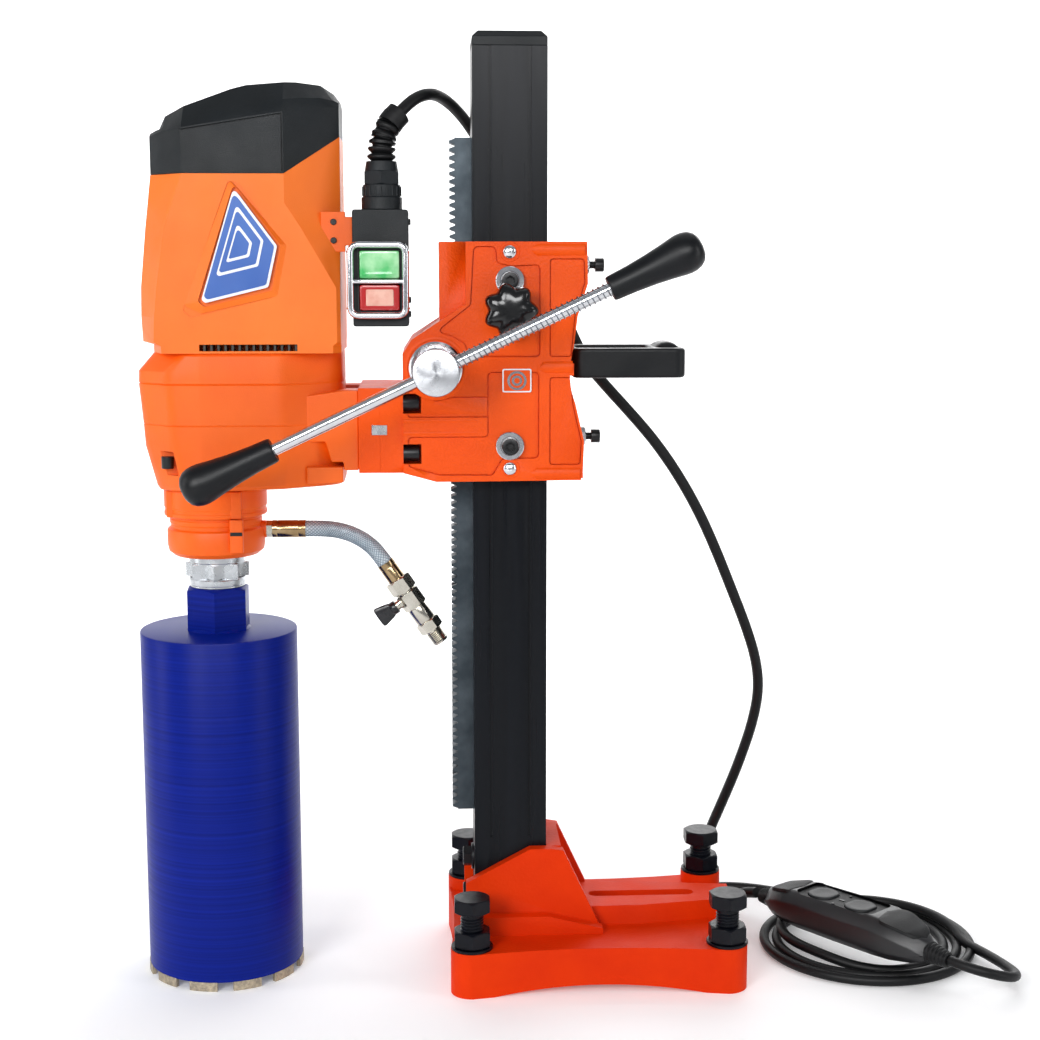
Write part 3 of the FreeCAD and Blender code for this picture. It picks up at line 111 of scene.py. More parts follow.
def add_studio():
    """A pale studio: soft lights, and a floor that curves up into a backdrop."""
    world = bpy.data.worlds.new("studio")
    world.use_nodes = True
    back = world.node_tree.nodes["Background"]
    back.inputs["Color"].default_value = (0.93, 0.95, 1.0, 1)
    back.inputs["Strength"].default_value = 0.34
    bpy.context.scene.world = world
    bpy.context.scene.view_settings.view_transform = "Standard"
    middle = (-0.05, 0, 0.5)
    for name, place, target, size, power in (
        ("key", (-1.5, -2.6, 1.5), middle, (1.2, 1.2), 55),
        ("sheen", (0.2, -2.6, 1.6), middle, (1.6, 0.7), 46),
        ("side", (2.3, -1.1, 1.1), middle, (0.7, 1.8), 15),
        ("left", (-2.4, -0.2, 1.0), middle, (0.6, 1.8), 13),
        ("top", (0.2, 0.4, 2.8), middle, (2.0, 1.5), 6),
        ("backdrop", (0, 1.6, 2.6), (0, 4, 0.6), (4.5, 0.8), 110),
        ("rim", (0.9, 2.3, 1.5), middle, (1.6, 1.2), 14),
    ):
        light = add_light(name, place, target, size, power)
        light.visible_diffuse = name != "sheen"
    bm = bmesh.new()
    profile = [(-6, 0), (2.2, 0), (2.9, 0.06), (3.5, 0.3), (3.9, 0.8), (4.0, 1.6), (4.0, 7)]
    skin(bm, [[(x, y, z) for x in (-9, 9)] for y, z in profile], METRES, caps=False, closed=False)
    data = bpy.data.meshes.new("floor")
    bm.to_mesh(data)
    bm.free()
    data.shade_smooth()
    floor = link("floor", data)
    pale = bpy.data.materials.new("floor_pale")
    pale.use_nodes = True
    for socket, value in (("Base Color", (0.94, 0.94, 0.94, 1)), ("Roughness", 0.75),
                          ("Emission Color", (1, 1, 1, 1)), ("Emission Strength", 0.15)):
        pale.node_tree.nodes["Principled BSDF"].inputs[socket].default_value = value
    data.materials.append(pale)


# ---- materials ----------------------------------------------------------------
def linear(colour):
    """A colour of 0 to 255 steps as the linear values that a shader takes."""
    parts = [part / 255 for part in colour]
    return tuple(p / 12.92 if p < 0.04045 else ((p + 0.055) / 1.055) ** 2.4 for p in parts) + (1,)


class Look:
    """A procedural material: a principled shader with patchy colour and roughness, and a fine bump."""

    made = {}

    def __init__(self, name, first, second, rough, bump, metal=0.0, patch=14.0, stretch=(1, 1, 1), **sockets):
        self.material = bpy.data.materials.new(name)
        self.material.use_nodes = True
        self.tree = self.material.node_tree
        self.shader = self.tree.nodes["Principled BSDF"]
        self.place = self.node("ShaderNodeTexCoord").outputs["Object"]
        self.colour(linear(first), linear(second), patch, stretch)
        self.roughness(rough, patch * 2.3, stretch)
        self.bump(*bump)
        self.shader.inputs["Metallic"].default_value = metal
        for socket, value in sockets.items():
            self.shader.inputs[socket.replace("_", " ")].default_value = value
        Look.made[name] = self

    def node(self, kind, **values):
        made = self.tree.nodes.new(kind)
        for key, value in values.items():
            if hasattr(made, key):
                setattr(made, key, value)
            else:
                made.inputs[key].default_value = value
        return made

    def link(self, start, end):
        self.tree.links.new(start, end)

    def texture(self, kind, stretch, output="Fac", **values):
        mapping, made = self.node("ShaderNodeMapping", Scale=stretch), self.node(kind, **values)
        self.link(self.place, mapping.inputs["Vector"])
        self.link(mapping.outputs["Vector"], made.inputs["Vector"])
        return made.outputs[output]

    def noise(self, scale, stretch, detail):
        return self.texture("ShaderNodeTexNoise", stretch, Scale=scale, Detail=detail)

    def colour(self, first, second, scale, stretch):
        ramp = self.node("ShaderNodeValToRGB")
        for stop, place, colour in zip(ramp.color_ramp.elements, (0.36, 0.68), (first, second)):
            stop.position, stop.color = place, colour
        self.link(self.noise(scale, stretch, 4.0), ramp.inputs["Fac"])
        self.link(ramp.outputs["Color"], self.shader.inputs["Base Color"])

    def roughness(self, rough, scale, stretch):
        spread = self.node("ShaderNodeMapRange")
        for socket, value in zip(("From Min", "From Max", "To Min", "To Max"), (0.3, 0.7, *rough)):
            spread.inputs[socket].default_value = value
        self.link(self.noise(scale, stretch, 6.0), spread.inputs["Value"])
        self.link(spread.outputs["Result"], self.shader.inputs["Roughness"])

    def bump(self, scale, height, kind="noise", stretch=(1, 1, 1)):
        """Fine relief from noise, from cells, or from bands across the axis that kind names."""
        if kind == "noise":
            source = self.noise(scale, stretch, 3.0)
        elif kind == "cells":
            source = self.texture("ShaderNodeTexVoronoi", stretch, "Distance", Scale=scale)
        else:
            source = self.texture("ShaderNodeTexWave", stretch, Scale=scale, bands_direction=kind)
        made = self.node("ShaderNodeBump", Strength=1.0, Distance=height)
        self.link(source, made.inputs["Height"])
        self.link(made.outputs["Normal"], self.shader.inputs["Normal"])


def make_looks():
    """One look for each material slot, and a few more for details."""
    peel, cast = (900, 0.0002), (420, 0.0005)
    dull = {"Specular_IOR_Level": 0.25}
    satin = {"Specular_IOR_Level": 0.26, "Coat_Weight": 0.08, "Coat_Roughness": 0.3}
    Look("motor_paint", (240, 99, 4), (233, 91, 2), (0.42, 0.52), peel, **satin)
    # The shell's look is the motor paint made lighter and paler: a painted sheen on the motor shell and the
    # badge plinth
    Look("shell_paint_painted_sheen", (243, 117, 26), (237, 109, 20), (0.42, 0.52), peel, **satin)
    Look("carriage_paint", (237, 82, 0), (225, 72, 0), (0.4, 0.5), cast, Specular_IOR_Level=0.16)
    Look("stand_paint", (224, 54, 0), (214, 46, 0), (0.5, 0.6), (300, 0.0003), Specular_IOR_Level=0.08)
    Look("bracket_paint", (240, 100, 8), (230, 92, 4), (0.42, 0.52), peel, **satin)
    Look("column_black", (4, 7, 13), (8, 12, 19), (0.26, 0.36), (120, 0.00008, "noise", (6, 6, 0.12)), 0.0,
         30, (3, 3, 0.1), Specular_IOR_Level=0.16)
    Look("cap_black", (12, 17, 20), (17, 23, 27), (0.42, 0.55), (1300, 0.00015, "cells"), **dull)
    Look("knob_black", (5, 8, 12), (9, 12, 17), (0.34, 0.46), (700, 0.00008), **dull)
    Look("knob_gloss", (4, 5, 6), (7, 8, 10), (0.14, 0.22), (300, 0.00004))
    Look("rack_steel", (50, 58, 64), (70, 78, 84), (0.4, 0.55), (900, 0.0001), 0.8, 40)
    Look("black_fasteners", (12, 13, 16), (20, 22, 26), (0.3, 0.45), (1200, 0.00006), 0.3, 60)
    Look("level_black", (4, 6, 14), (8, 11, 20), (0.28, 0.42), (1200, 0.00005), 0.0, 60,
         Specular_IOR_Level=0.2)
    Look("chrome", (206, 208, 212), (220, 221, 224), (0.08, 0.2), (500, 0.00003), 1.0, 30)
    Look("turned_steel", (206, 208, 212), (188, 190, 194), (0.2, 0.3), (700, 0.00003), 1.0, 40,
         Anisotropic=0.85)
    Look("spring_steel", (110, 116, 124), (140, 146, 153), (0.25, 0.4), (900, 0.00004), 1.0, 60)
    Look("steel", (178, 182, 186), (196, 199, 202), (0.2, 0.34), (700, 0.00004, "noise", (1, 1, 8)), 1.0, 40)
    Look("pad_plastic", (205, 200, 188), (214, 209, 198), (0.45, 0.6), (600, 0.0001))
    Look("badge_foil", (38, 88, 170), (50, 100, 180), (0.32, 0.42), (800, 0.00003))
    Look("badge_rim", (228, 232, 238), (238, 240, 243), (0.3, 0.4), (800, 0.00003))
    Look("windings", (120, 74, 44), (92, 60, 40), (0.4, 0.6), (160, 0.0002, "Z"), 0.7, 80)
    # start_green mixes the green with patches of pale, nearly white green: a painted reflection on the start
    # button
    Look("start_green", (66, 190, 100), (176, 232, 178), (0.16, 0.28), (160, 0.0003), 0.0, 42,
         Coat_Weight=0.5)
    Look("stop_red", (190, 10, 14), (172, 6, 10), (0.2, 0.32), (200, 0.0001), Coat_Weight=0.5)
    Look("lens_pale", (226, 158, 140), (240, 190, 172), (0.15, 0.25), (200, 0.0002), 0.0, 90, Coat_Weight=0.5)
    Look("lead_rubber", (5, 6, 8), (9, 10, 12), (0.42, 0.55), (900, 0.00012), **dull)
    Look("guard_plastic", (18, 18, 20), (25, 25, 28), (0.3, 0.42), (1500, 0.00008, "cells"))
    Look("guard_buttons", (24, 26, 28), (30, 32, 35), (0.4, 0.5), (900, 0.00012), **dull)
    Look("pad_dark", (8, 9, 10), (13, 14, 16), (0.5, 0.62), (1500, 0.00012, "cells"), **dull)
    Look("bit_blue", (2, 22, 112), (4, 30, 136), (0.3, 0.4), (60, 0.0001, "noise", (0.03, 0.03, 30)), 0.0,
         14, (0.02, 0.02, 22), Specular_IOR_Level=0.1)
    Look("segment_metal", (150, 140, 124), (190, 176, 152), (0.4, 0.6), (900, 0.0005, "cells"), 0.8, 220)
    Look("fitting_nickel", (186, 182, 170), (202, 198, 188), (0.14, 0.26), (600, 0.00005), 1.0, 60)
    Look("ferrule_gold", (168, 146, 112), (146, 122, 88), (0.14, 0.26), (600, 0.00005), 1.0, 60)
    Look("hose_braid", (176, 190, 198), (204, 214, 220), (0.3, 0.45), (900, 0.0001))
    Look("hose_mesh", (112, 128, 140), (142, 156, 168), (0.3, 0.45), (900, 0.0001), 0.3)
    Look("valve_black", (10, 11, 16), (15, 17, 26), (0.22, 0.34), (700, 0.00008))
    Look("vent_dark", (40, 42, 36), (54, 56, 48), (0.5, 0.65), (500, 0.0001))
    turned = Look.made["turned_steel"]
    tangent = turned.node("ShaderNodeTangent", direction_type="RADIAL", axis="Y")
    turned.link(tangent.outputs["Tangent"], turned.shader.inputs["Tangent"])


def paint(item, look):
    item.data.materials.clear()
    item.data.materials.append(Look.made[look].material)


def dress_nodes():
    """Each CAD node that stays shown takes its record slot's look and smooth shading."""
    for name, item in NODES.items():
        paint(item, SLOTS[name])
        item.data.shade_smooth()
        item.data.set_sharp_from_angle(angle=math.radians(28))


# ---- mesh helpers --------------------------------------------------------------
def at(place, axis=(0, 0, 1)):
    """Takes local millimetres, with Z along the axis, to the rig's metres."""
    turn = Vector(axis).to_track_quat("Z", "Y").to_matrix().to_4x4()
    return Matrix.Translation(Vector(place) * MM) @ turn @ RIG


def skin(bm, rings, matrix=RIG, caps=True, closed=True):
    """Joins rings of equal point counts into one surface."""
    rows = [[bm.verts.new(matrix @ Vector(point)) for point in ring] for ring in rings]
    for low, high in zip(rows, rows[1:]):
        count = len(low)
        for i in range(count if closed else count - 1):
            j = (i + 1) % count
            bm.faces.new((low[i], low[j], high[j], high[i]))
    if caps:
        bm.faces.new(list(reversed(rows[0])))
        bm.faces.new(rows[-1])


def spokes(steps):
    """The cosine and sine of equal turns round a circle."""
    return [(math.cos(math.tau * i / steps), math.sin(math.tau * i / steps)) for i in range(steps)]


def polar(radius, height, steps):
    """A closed ring at a height; the radius is a number or a function of the angle."""
    sizes = [radius(math.tau * i / steps) if callable(radius) else radius for i in range(steps)]
    return [(size * c, size * s, height) for size, (c, s) in zip(sizes, spokes(steps))]


def hoop(centre, across, up, steps):
    """A closed ring round a centre; across and up are its two half axes."""
    return [centre + across * c + up * s for c, s in spokes(steps)]


def hexagon(flats, angle):
    """How far a hexagon's edge is from its middle at an angle; flats is half its width."""
    return flats / math.cos((angle + math.pi / 6) % (math.pi / 3) - math.pi / 6)


def lathe(bm, profile, matrix, steps=64):
    """A solid of revolution: the profile is (radius, height) from one end to the other."""
    skin(bm, [polar(radius, height, steps) for radius, height in profile], matrix)


def hex_head(bm, matrix, flats, low, high, both=False):
    """A hexagon of half the width across flats, its corners turned off at the top, or at both ends."""
    drop = 0.115 * flats
    heights = [high - drop * share for share in (1, 0.75, 0.5, 0.25, 0)]
    heights = [low + drop * share for share in (0, 0.25, 0.5, 0.75, 1)] + heights if both else [low, *heights]
    rings = []
    for height in heights:
        edge = min(high - height, height - low if both else drop)
        limit = flats * 0.96 + edge * 1.73
        rings.append(polar(lambda angle: min(limit, hexagon(flats, angle)), height, 72))
    skin(bm, rings, matrix)


def thread(bm, matrix, radius, depth, pitch, low, high, steps=40):
    """A screw thread: a ridge that winds round its core."""
    rings = []
    for i in range(int((high - low) / pitch * steps)):
        angle, height = math.tau * i / steps, low + pitch * i / steps
        rings.append([(r * math.cos(angle), r * math.sin(angle), height + h) for r, h in
                      ((radius - depth - 0.3, -pitch * 0.55), (radius, 0),
                       (radius - depth - 0.3, pitch * 0.55))])
    skin(bm, rings, matrix)


def path_frames(points):
    """Each point with two directions across the path, without twist."""
    made = []
    side = None
    for i, point in enumerate(points):
        ahead = (points[min(i + 1, len(points) - 1)] - points[max(i - 1, 0)]).normalized()
        if side is None:
            side = ahead.orthogonal().normalized()
        side = (side - ahead * side.dot(ahead)).normalized()
        made.append((point, side, ahead.cross(side)))
    return made


def sweep(bm, points, radius, sides=8, matrix=RIG):
    """A round bar along the points."""
    frames = path_frames([Vector(p) for p in points])
    skin(bm, [hoop(point, side * radius, up * radius, sides) for point, side, up in frames], matrix)


def rounded(corners, radius, steps=4):
    """A flat outline with its corners rounded off."""
    made = []
    for i, corner in enumerate(corners):
        here, before, after = Vector(corner), Vector(corners[i - 1]), Vector(corners[(i + 1) % len(corners)])
        start, end = before - here, after - here
        cut = min(radius / max(0.2, math.tan(start.angle(end) / 2)), start.length * 0.48, end.length * 0.48)
        start, end = here + start.normalized() * cut, here + end.normalized() * cut
        for step in range(steps + 1):
            t = step / steps
            made.append(tuple(start * (1 - t) ** 2 + here * 2 * t * (1 - t) + end * t * t))
    return made


def box_outline(left, right, low, high, radius=0.0, steps=4):
    corners = [(left, low), (right, low), (right, high), (left, high)]
    return rounded(corners, radius, steps) if radius else corners


PLACED = {"x": lambda a, b, level: (level, a, b), "y": lambda a, b, level: (a, level, b),
          "z": lambda a, b, level: (a, b, level)}


def prism(bm, outline, axis, low, high, matrix=RIG):
    """A flat outline drawn out along an axis from one level to another."""
    skin(bm, [[PLACED[axis](a, b, level) for a, b in outline] for level in (low, high)], matrix)


def both_sides(bm, outline, inner, outer):
    """The same prism on the near side of the rig and on its far side; inner and outer are distances."""
    for side in (-1, 1):
        prism(bm, outline, "y", *sorted((side * inner, side * outer)))


def tidy(bm):
    bmesh.ops.remove_doubles(bm, verts=bm.verts, dist=2e-6)
    bmesh.ops.recalc_face_normals(bm, faces=bm.faces)


def mesh_of(bm, name="blank"):
    tidy(bm)
    data = bpy.data.meshes.new(name)
    bm.to_mesh(data)
    bm.free()
    return data


def piece(name, bm, look, body, nodes=(), bevel=0.0, sharp=32, segments=2):
    """Turns a mesh in the making into a piece that rides on its body and stands for its nodes."""
    return settle(link(name, mesh_of(bm, name)), look, body, nodes, bevel, sharp, segments)


def settle(item, look, body, nodes=(), bevel=0.0, sharp=32, segments=2):
    """The slot is the look's own name."""
    item.data.shade_smooth()
    item.data.set_sharp_from_angle(angle=math.radians(sharp))
    if bevel:
        soften(item, bevel, segments)
    paint(item, look)
    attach(item, body)
    if nodes:
        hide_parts(*nodes)
    return item


def soften(item, width, segments):
    edge = item.modifiers.new("edges", "BEVEL")
    edge.width = width * MM
    edge.segments = segments
    edge.limit_method = "ANGLE"
    edge.angle_limit = math.radians(34)
    edge.harden_normals = True


def carve(source, name, cutter=None):
    """A copy of a mesh, welded, with the cutter's shapes taken out of it."""
    bm = bmesh.new()
    bm.from_mesh(source)
    tidy(bm)
    bmesh.ops.dissolve_limit(bm, angle_limit=math.radians(0.4), verts=bm.verts, edges=bm.edges)
    data = bpy.data.meshes.new(name)
    bm.to_mesh(data)
    bm.free()
    item = link(name, data)
    if cutter:
        tool = link("cutter", mesh_of(cutter, "cutter"))
        cut = item.modifiers.new("cut", "BOOLEAN")
        cut.operation, cut.solver, cut.object, cut.use_self = "DIFFERENCE", "EXACT", tool, True
        bpy.context.view_layer.update()
        graph = bpy.context.evaluated_depsgraph_get()
        item.data = bpy.data.meshes.new_from_object(item.evaluated_get(graph))
        item.data.name = name
        item.modifiers.clear()
        bpy.data.objects.remove(tool)
    return item


# ---- cords ---------------------------------------------------------------------
LEAD_ON_CARRIAGE = [
    (-109, -43, 889), (-99.4, -36, 899.7), (-87.6, -23.5, 907.7), (-76.5, -5.5, 911), (-66.5, 14, 909),
    (-55, 33, 902), (-42, 51, 889.5), (-28, 66, 870), (-12, 77, 843), (5, 83.7, 809),
    (24, 87.9, 771), (43, 90, 733), (60, 90.5, 697), (73, 90.5, 668)]
LEAD_HANGING = [
    (73, 90.5, 668), (86, 90.5, 639), (109, 94, 612), (137, 98, 582), (166, 102, 549), (193, 107, 511),
    (217, 113, 470), (238, 120, 426), (258, 128, 379), (277, 136, 334), (292, 145, 291), (297, 152, 253),
    (292, 160, 213), (281, 168, 171), (268.5, 176, 131), (255, 184, 93)]
LEAD_LANDING = [
    (255, 184, 93), (245.55, 189.6, 66.4), (243.5, 189.5, 46.5), (243.3, 182, 27.5), (244.7, 167.5, 13.5),
    (248.4, 148.7, 8), (254.2, 129.6, 9.8), (261.1, 114.1, 17.2), (268.4, 102.3, 25.5), (276.6, 91.4, 31.9),
    (285.1, 80.7, 35)]
MAINS_FROM_GUARD = [
    (446.9, -122.7, 35), (456.2, -134.4, 34.5), (470.8, -143.2, 32), (488.7, -144.8, 27.5),
    (505.4, -138.1, 22), (517.2, -124.5, 17), (521.6, -107, 13.5), (519.9, -87.1, 11.5),
    (514.5, -63.7, 10.5), (505.7, -38.2, 10), (494.3, -12.6, 10)]
MAINS_TO_PLUG = [
    (372, 127, 7), (350, 145, 5.6), (326, 161, 5.6), (301, 174, 5.6), (275, 182, 5.6), (248, 181, 5.6),
    (221, 172, 5.6), (195, 161, 5.6), (168, 154, 5.8), (141, 150.5, 7), (116, 147.5, 10), (94, 145.5, 13),
    (74, 145, 14)]
HOSE = [
    HOSE_START, (-195, 0, 470), (-179.1, 0, 468.5), (-163.7, 0, 464.1), (-149.6, 0, 456.4),
    (-137.7, 0, 445.7), HOSE_END]


def cord_curve(name, points, radius):
    """A round cord on one smooth line, with the route's points as its control points."""
    data = bpy.data.curves.new(name, "CURVE")
    data.dimensions = "3D"
    data.bevel_depth = radius * MM
    data.bevel_resolution = 6
    data.resolution_u = 10
    data.use_fill_caps = True
    line = data.splines.new("NURBS")
    line.points.add(len(points) - 1)
    for point, place in zip(line.points, points):
        point.co = (*(part * MM for part in place), 1)
    line.order_u = 3
    line.use_endpoint_u = True
    return link(name, data)


def line_length(points):
    return sum((Vector(b) - Vector(a)).length for a, b in zip(points, points[1:]))


def along_curve(curve):
    """The points that a curve's own line follows."""
    depth, curve.data.bevel_depth = curve.data.bevel_depth, 0
    bpy.context.view_layer.update()
    graph = bpy.context.evaluated_depsgraph_get()
    data = bpy.data.meshes.new_from_object(curve.evaluated_get(graph))
    curve.data.bevel_depth = depth
    points = [vertex.co.copy() for vertex in data.vertices]
    bpy.data.meshes.remove(data)
    return points


def coil_turns():
    """Loose turns: in over the top of them all, down inside, then outwards on the floor."""
    turns = []
    for degrees in range(4, 220, 24):
        turns.append((degrees, 103 - 16 * (degrees - 4) / 216, 16.6))
    for degrees in range(228, 1165, 24):
        share = (degrees - 228) / 936
        wander = 4 * max(0, share - 0.6) * math.cos(math.radians(degrees - 30))
        turns.append((degrees, 84 + 37 * share + wander, max(5.4, 16.6 - (degrees - 220) * 0.24)))
    return [(COIL_X + r * math.cos(math.radians(a)), COIL_Y + r * math.sin(math.radians(a)), z)
            for a, r, z in turns]


def make_cords():
    for name, points, radius, nodes, body, end, lay in (
        ("lead_over_carriage", LEAD_ON_CARRIAGE, 6, ["motor_lead_upper"], "carriage", "object", "hanging"),
        ("lead_hanging", LEAD_HANGING, 6, ["motor_lead_hanging"], "carriage", "object", "hanging"),
        ("lead_to_guard", LEAD_LANDING, 6, ["motor_lead_landing"], "stand", "object", "hanging"),
        ("mains_lead_coiled", MAINS_FROM_GUARD + coil_turns() + MAINS_TO_PLUG, 5.25,
         ["mains_lead", "mains_coil"], "stand", "plug", "coiled"),
    ):
        curve = cord_curve(name, points, radius)
        length = line_length(along_curve(curve))
        paint(curve, "lead_rubber")
        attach(curve, body)
        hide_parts(*nodes)


def make_hose():
    """A clear hose over a woven braid, drawn as two families of strands that cross."""
    curve = cord_curve("hose_line", HOSE, 8)
    line = along_curve(curve)
    bpy.data.objects.remove(curve)
    smooth = [a.lerp(b, t / 3) for a, b in zip(line, line[1:]) for t in range(3)] + [line[-1]]
    bm = bmesh.new()
    sweep(bm, smooth, 8 * MM, 40, METRES)
    hose = piece("hose", bm, "hose_braid", "carriage", ["water_hose"])
    path = path_frames(smooth)
    bm = bmesh.new()
    families, wind = 14, 165
    twist = line_length(line) * wind / (len(path) - 1)
    for family in range(families * 2):
        hand = 1 if family < families else -1
        strand = []
        for i, (point, side, up) in enumerate(path):
            angle = math.tau * family / families + hand * i * twist
            strand.append(point + (side * math.cos(angle) + up * math.sin(angle)) * 8.05 * MM)
        sweep(bm, strand, 0.42 * MM, 5, METRES)
    braid = piece("hose_braiding", bm, "hose_mesh", "carriage")


# ---- the motor -----------------------------------------------------------------
def motor_ring(z, left, facet_left, facet_right, corner, lift=0):
    """The octagonal plan of the motor at a height; lift raises its two points at the back."""
    half = MOTOR_HALF
    return [(left, -30, z), (facet_left, -half, z), (facet_right, -half, z),
            (MOTOR_BACK, -corner, z + lift), (MOTOR_BACK, corner, z + lift),
            (facet_right, half, z), (facet_left, half, z), (left, 30, z)]


def make_motor():
    bm = bmesh.new()
    skin(bm, [motor_ring(655, -357, -344, -176, 60), motor_ring(662.5, -357, -344, -176, 60),
              motor_ring(665.5, -367.5, -351, -172, 66), motor_ring(690, -368.6, -350, -172, 66),
              motor_ring(719, -368, -347, -172, 66), motor_ring(777, -362, -338, -205.6, 47.4),
              motor_ring(801, -359, -329.5, -221.3, 38), motor_ring(829, -355.6, -319.5, -221.3, 38, 37)])
    cut = bmesh.new()
    both_sides(cut, box_outline(-307, -211, 657.2, 663.8), 50, 74)
    pad = rounded([(-275, 822), (-322, 697), (-314, 690), (-233, 710), (-222.5, 760), (-264, 820)], 4)
    prism(cut, pad, "y", -71, -69.1)
    for low in (676, 690, 704):
        prism(cut, box_outline(-30, 30, low, low + 6, 2.5), "x", -380, -364)
    shell = carve(mesh_of(bm), "motor_shell", cut)
    # The shell takes the lighter copy of the motor paint, a painted sheen
    settle(shell, "shell_paint_painted_sheen", "carriage", ["motor_housing"], 1.6, 24, 3)

    bm = bmesh.new()
    for i in range(14):
        x = -303.5 + 6.9 * i
        both_sides(bm, box_outline(x, x + 2.4, 656, 665), 52, 66.5)
    piece("vent_fins", bm, "vent_dark", "carriage", bevel=0.3)

    bm = bmesh.new()
    stations = [(-355.4, 30, 866, 869, 871), (-348, 41, 868, 871.5, 872.5), (-344, 46, 869, 872, 875),
                (-340, 50, 870, 874, 886), (-319, 70, 872.5, 878, 894.5), (-273, 70, 880, 889, 911),
                (-258, 70, 882.5, 892.5, 914.8), (-221.3, 70, 888, 900, 917.8),
                (-210, 63.2, 889.5, 901.5, 918.3), (-187, 49.5, 893, 903, 916.5),
                (-174, 41.5, 895, 901, 908.5), (-168.6, 38.2, 896, 899, 901.5)]
    rings = []
    for x, half, side_top, shoulder, crown in stations:
        low = 829.4 + max(0, x + 221.3) / 53 * 36.5
        inner = max(half - 24, 8)
        rings.append([(x, -half, low), (x, -half, side_top), (x, 5 - half, shoulder), (x, -inner, crown),
                      (x, inner, crown), (x, half - 5, shoulder), (x, half, side_top), (x, half, low)])
    skin(bm, rings)
    cut = bmesh.new()
    panel = [(-354, 831.5), (-222.6, 831.5), (-222.6, 886), (-319, 870.5), (-350, 865)]
    both_sides(cut, rounded(panel, 1.5, 2), 69, 72)
    both_sides(cut, [(-223.2, 831.5), (-222, 831.5), (-222, 886.5), (-223.2, 886.4)], 67.4, 72)
    both_sides(cut, [(-350, 865.6), (-319, 871.2), (-222.4, 886.8), (-222.4, 885.2), (-319, 869.6),
                     (-350, 864.2)], 67.6, 72)
    cap = carve(mesh_of(bm), "motor_cap", cut)
    settle(cap, "cap_black", "carriage", ["motor_top_cap"], 1.3, 22, 3)


def make_badges():
    kite = [(-269.6, 815.5), (-228.6, 759.6), (-237.8, 719.6), (-299.6, 704.4), (-303.1, 707.7)]
    middle = Vector((-268, 752))
    bm = bmesh.new()
    outer = [(-273.5, 824), (-219.5, 760), (-229.5, 711), (-304, 694), (-321, 702)]
    crest = [(-269.4, 819.4), (-225.4, 759.8), (-234.6, 716.4), (-300.4, 700.6), (-306.8, 706)]
    skin(bm, [[(x, y, z) for x, z in rounded(line, 4, 4)]
              for y, line in ((-69.5, outer), (-70, outer), (-73.2, crest), (-69.6, crest))])
    # The plinth takes the shell's lighter paint, a painted sheen
    piece("badge_plinth", bm, "shell_paint_painted_sheen", "carriage", bevel=0.4, sharp=20)
    for name, share, out, look in (("badge_rim", 1.0, 73.6, "badge_rim"),
                                   ("badge_field", 0.93, 74, "badge_foil")):
        bm = bmesh.new()
        outline = rounded([tuple(middle + (Vector(p) - middle) * share) for p in kite], 4)
        prism(bm, outline, "y", -out, -72.6)
        piece(name, bm, look, "carriage", bevel=0.2)
    bm = bmesh.new()
    for scale in (0.62, 0.34):
        outline, inner = [
            rounded([tuple(middle + Vector((2, 8)) + (Vector(p) - middle) * size) for p in kite], 3)
            for size in (scale, scale - 0.07)]
        skin(bm, [[(a, y, b) for a, b in line]
                  for y, line in ((-74.3, outline), (-74.3, inner), (-73.9, inner), (-73.9, outline),
                                  (-74.3, outline))], caps=False)
    piece("badge_lines", bm, "badge_rim", "carriage")
    bm = bmesh.new()
    prism(bm, box_outline(-9, 20, 615.5, 639, 2), "y", -66.4, -65)
    piece("cheek_badge_rim", bm, "badge_rim", "carriage", bevel=0.15)
    bm = bmesh.new()
    prism(bm, box_outline(-7.6, 18.6, 616.9, 637.6, 1.5), "y", -66.6, -66.2)
    piece("cheek_badge_field", bm, "carriage_paint", "carriage")
    bm = bmesh.new()
    for radius in (9.6, 5.2):
        lathe(bm, [(radius - 2.4, 66.4), (radius - 2.4, 66.9), (radius, 66.9), (radius, 66.4)],
              at((5.5, 0, 627.2), (0, -1, 0)), 48)
    piece("cheek_badge_rings", bm, "chrome", "carriage")


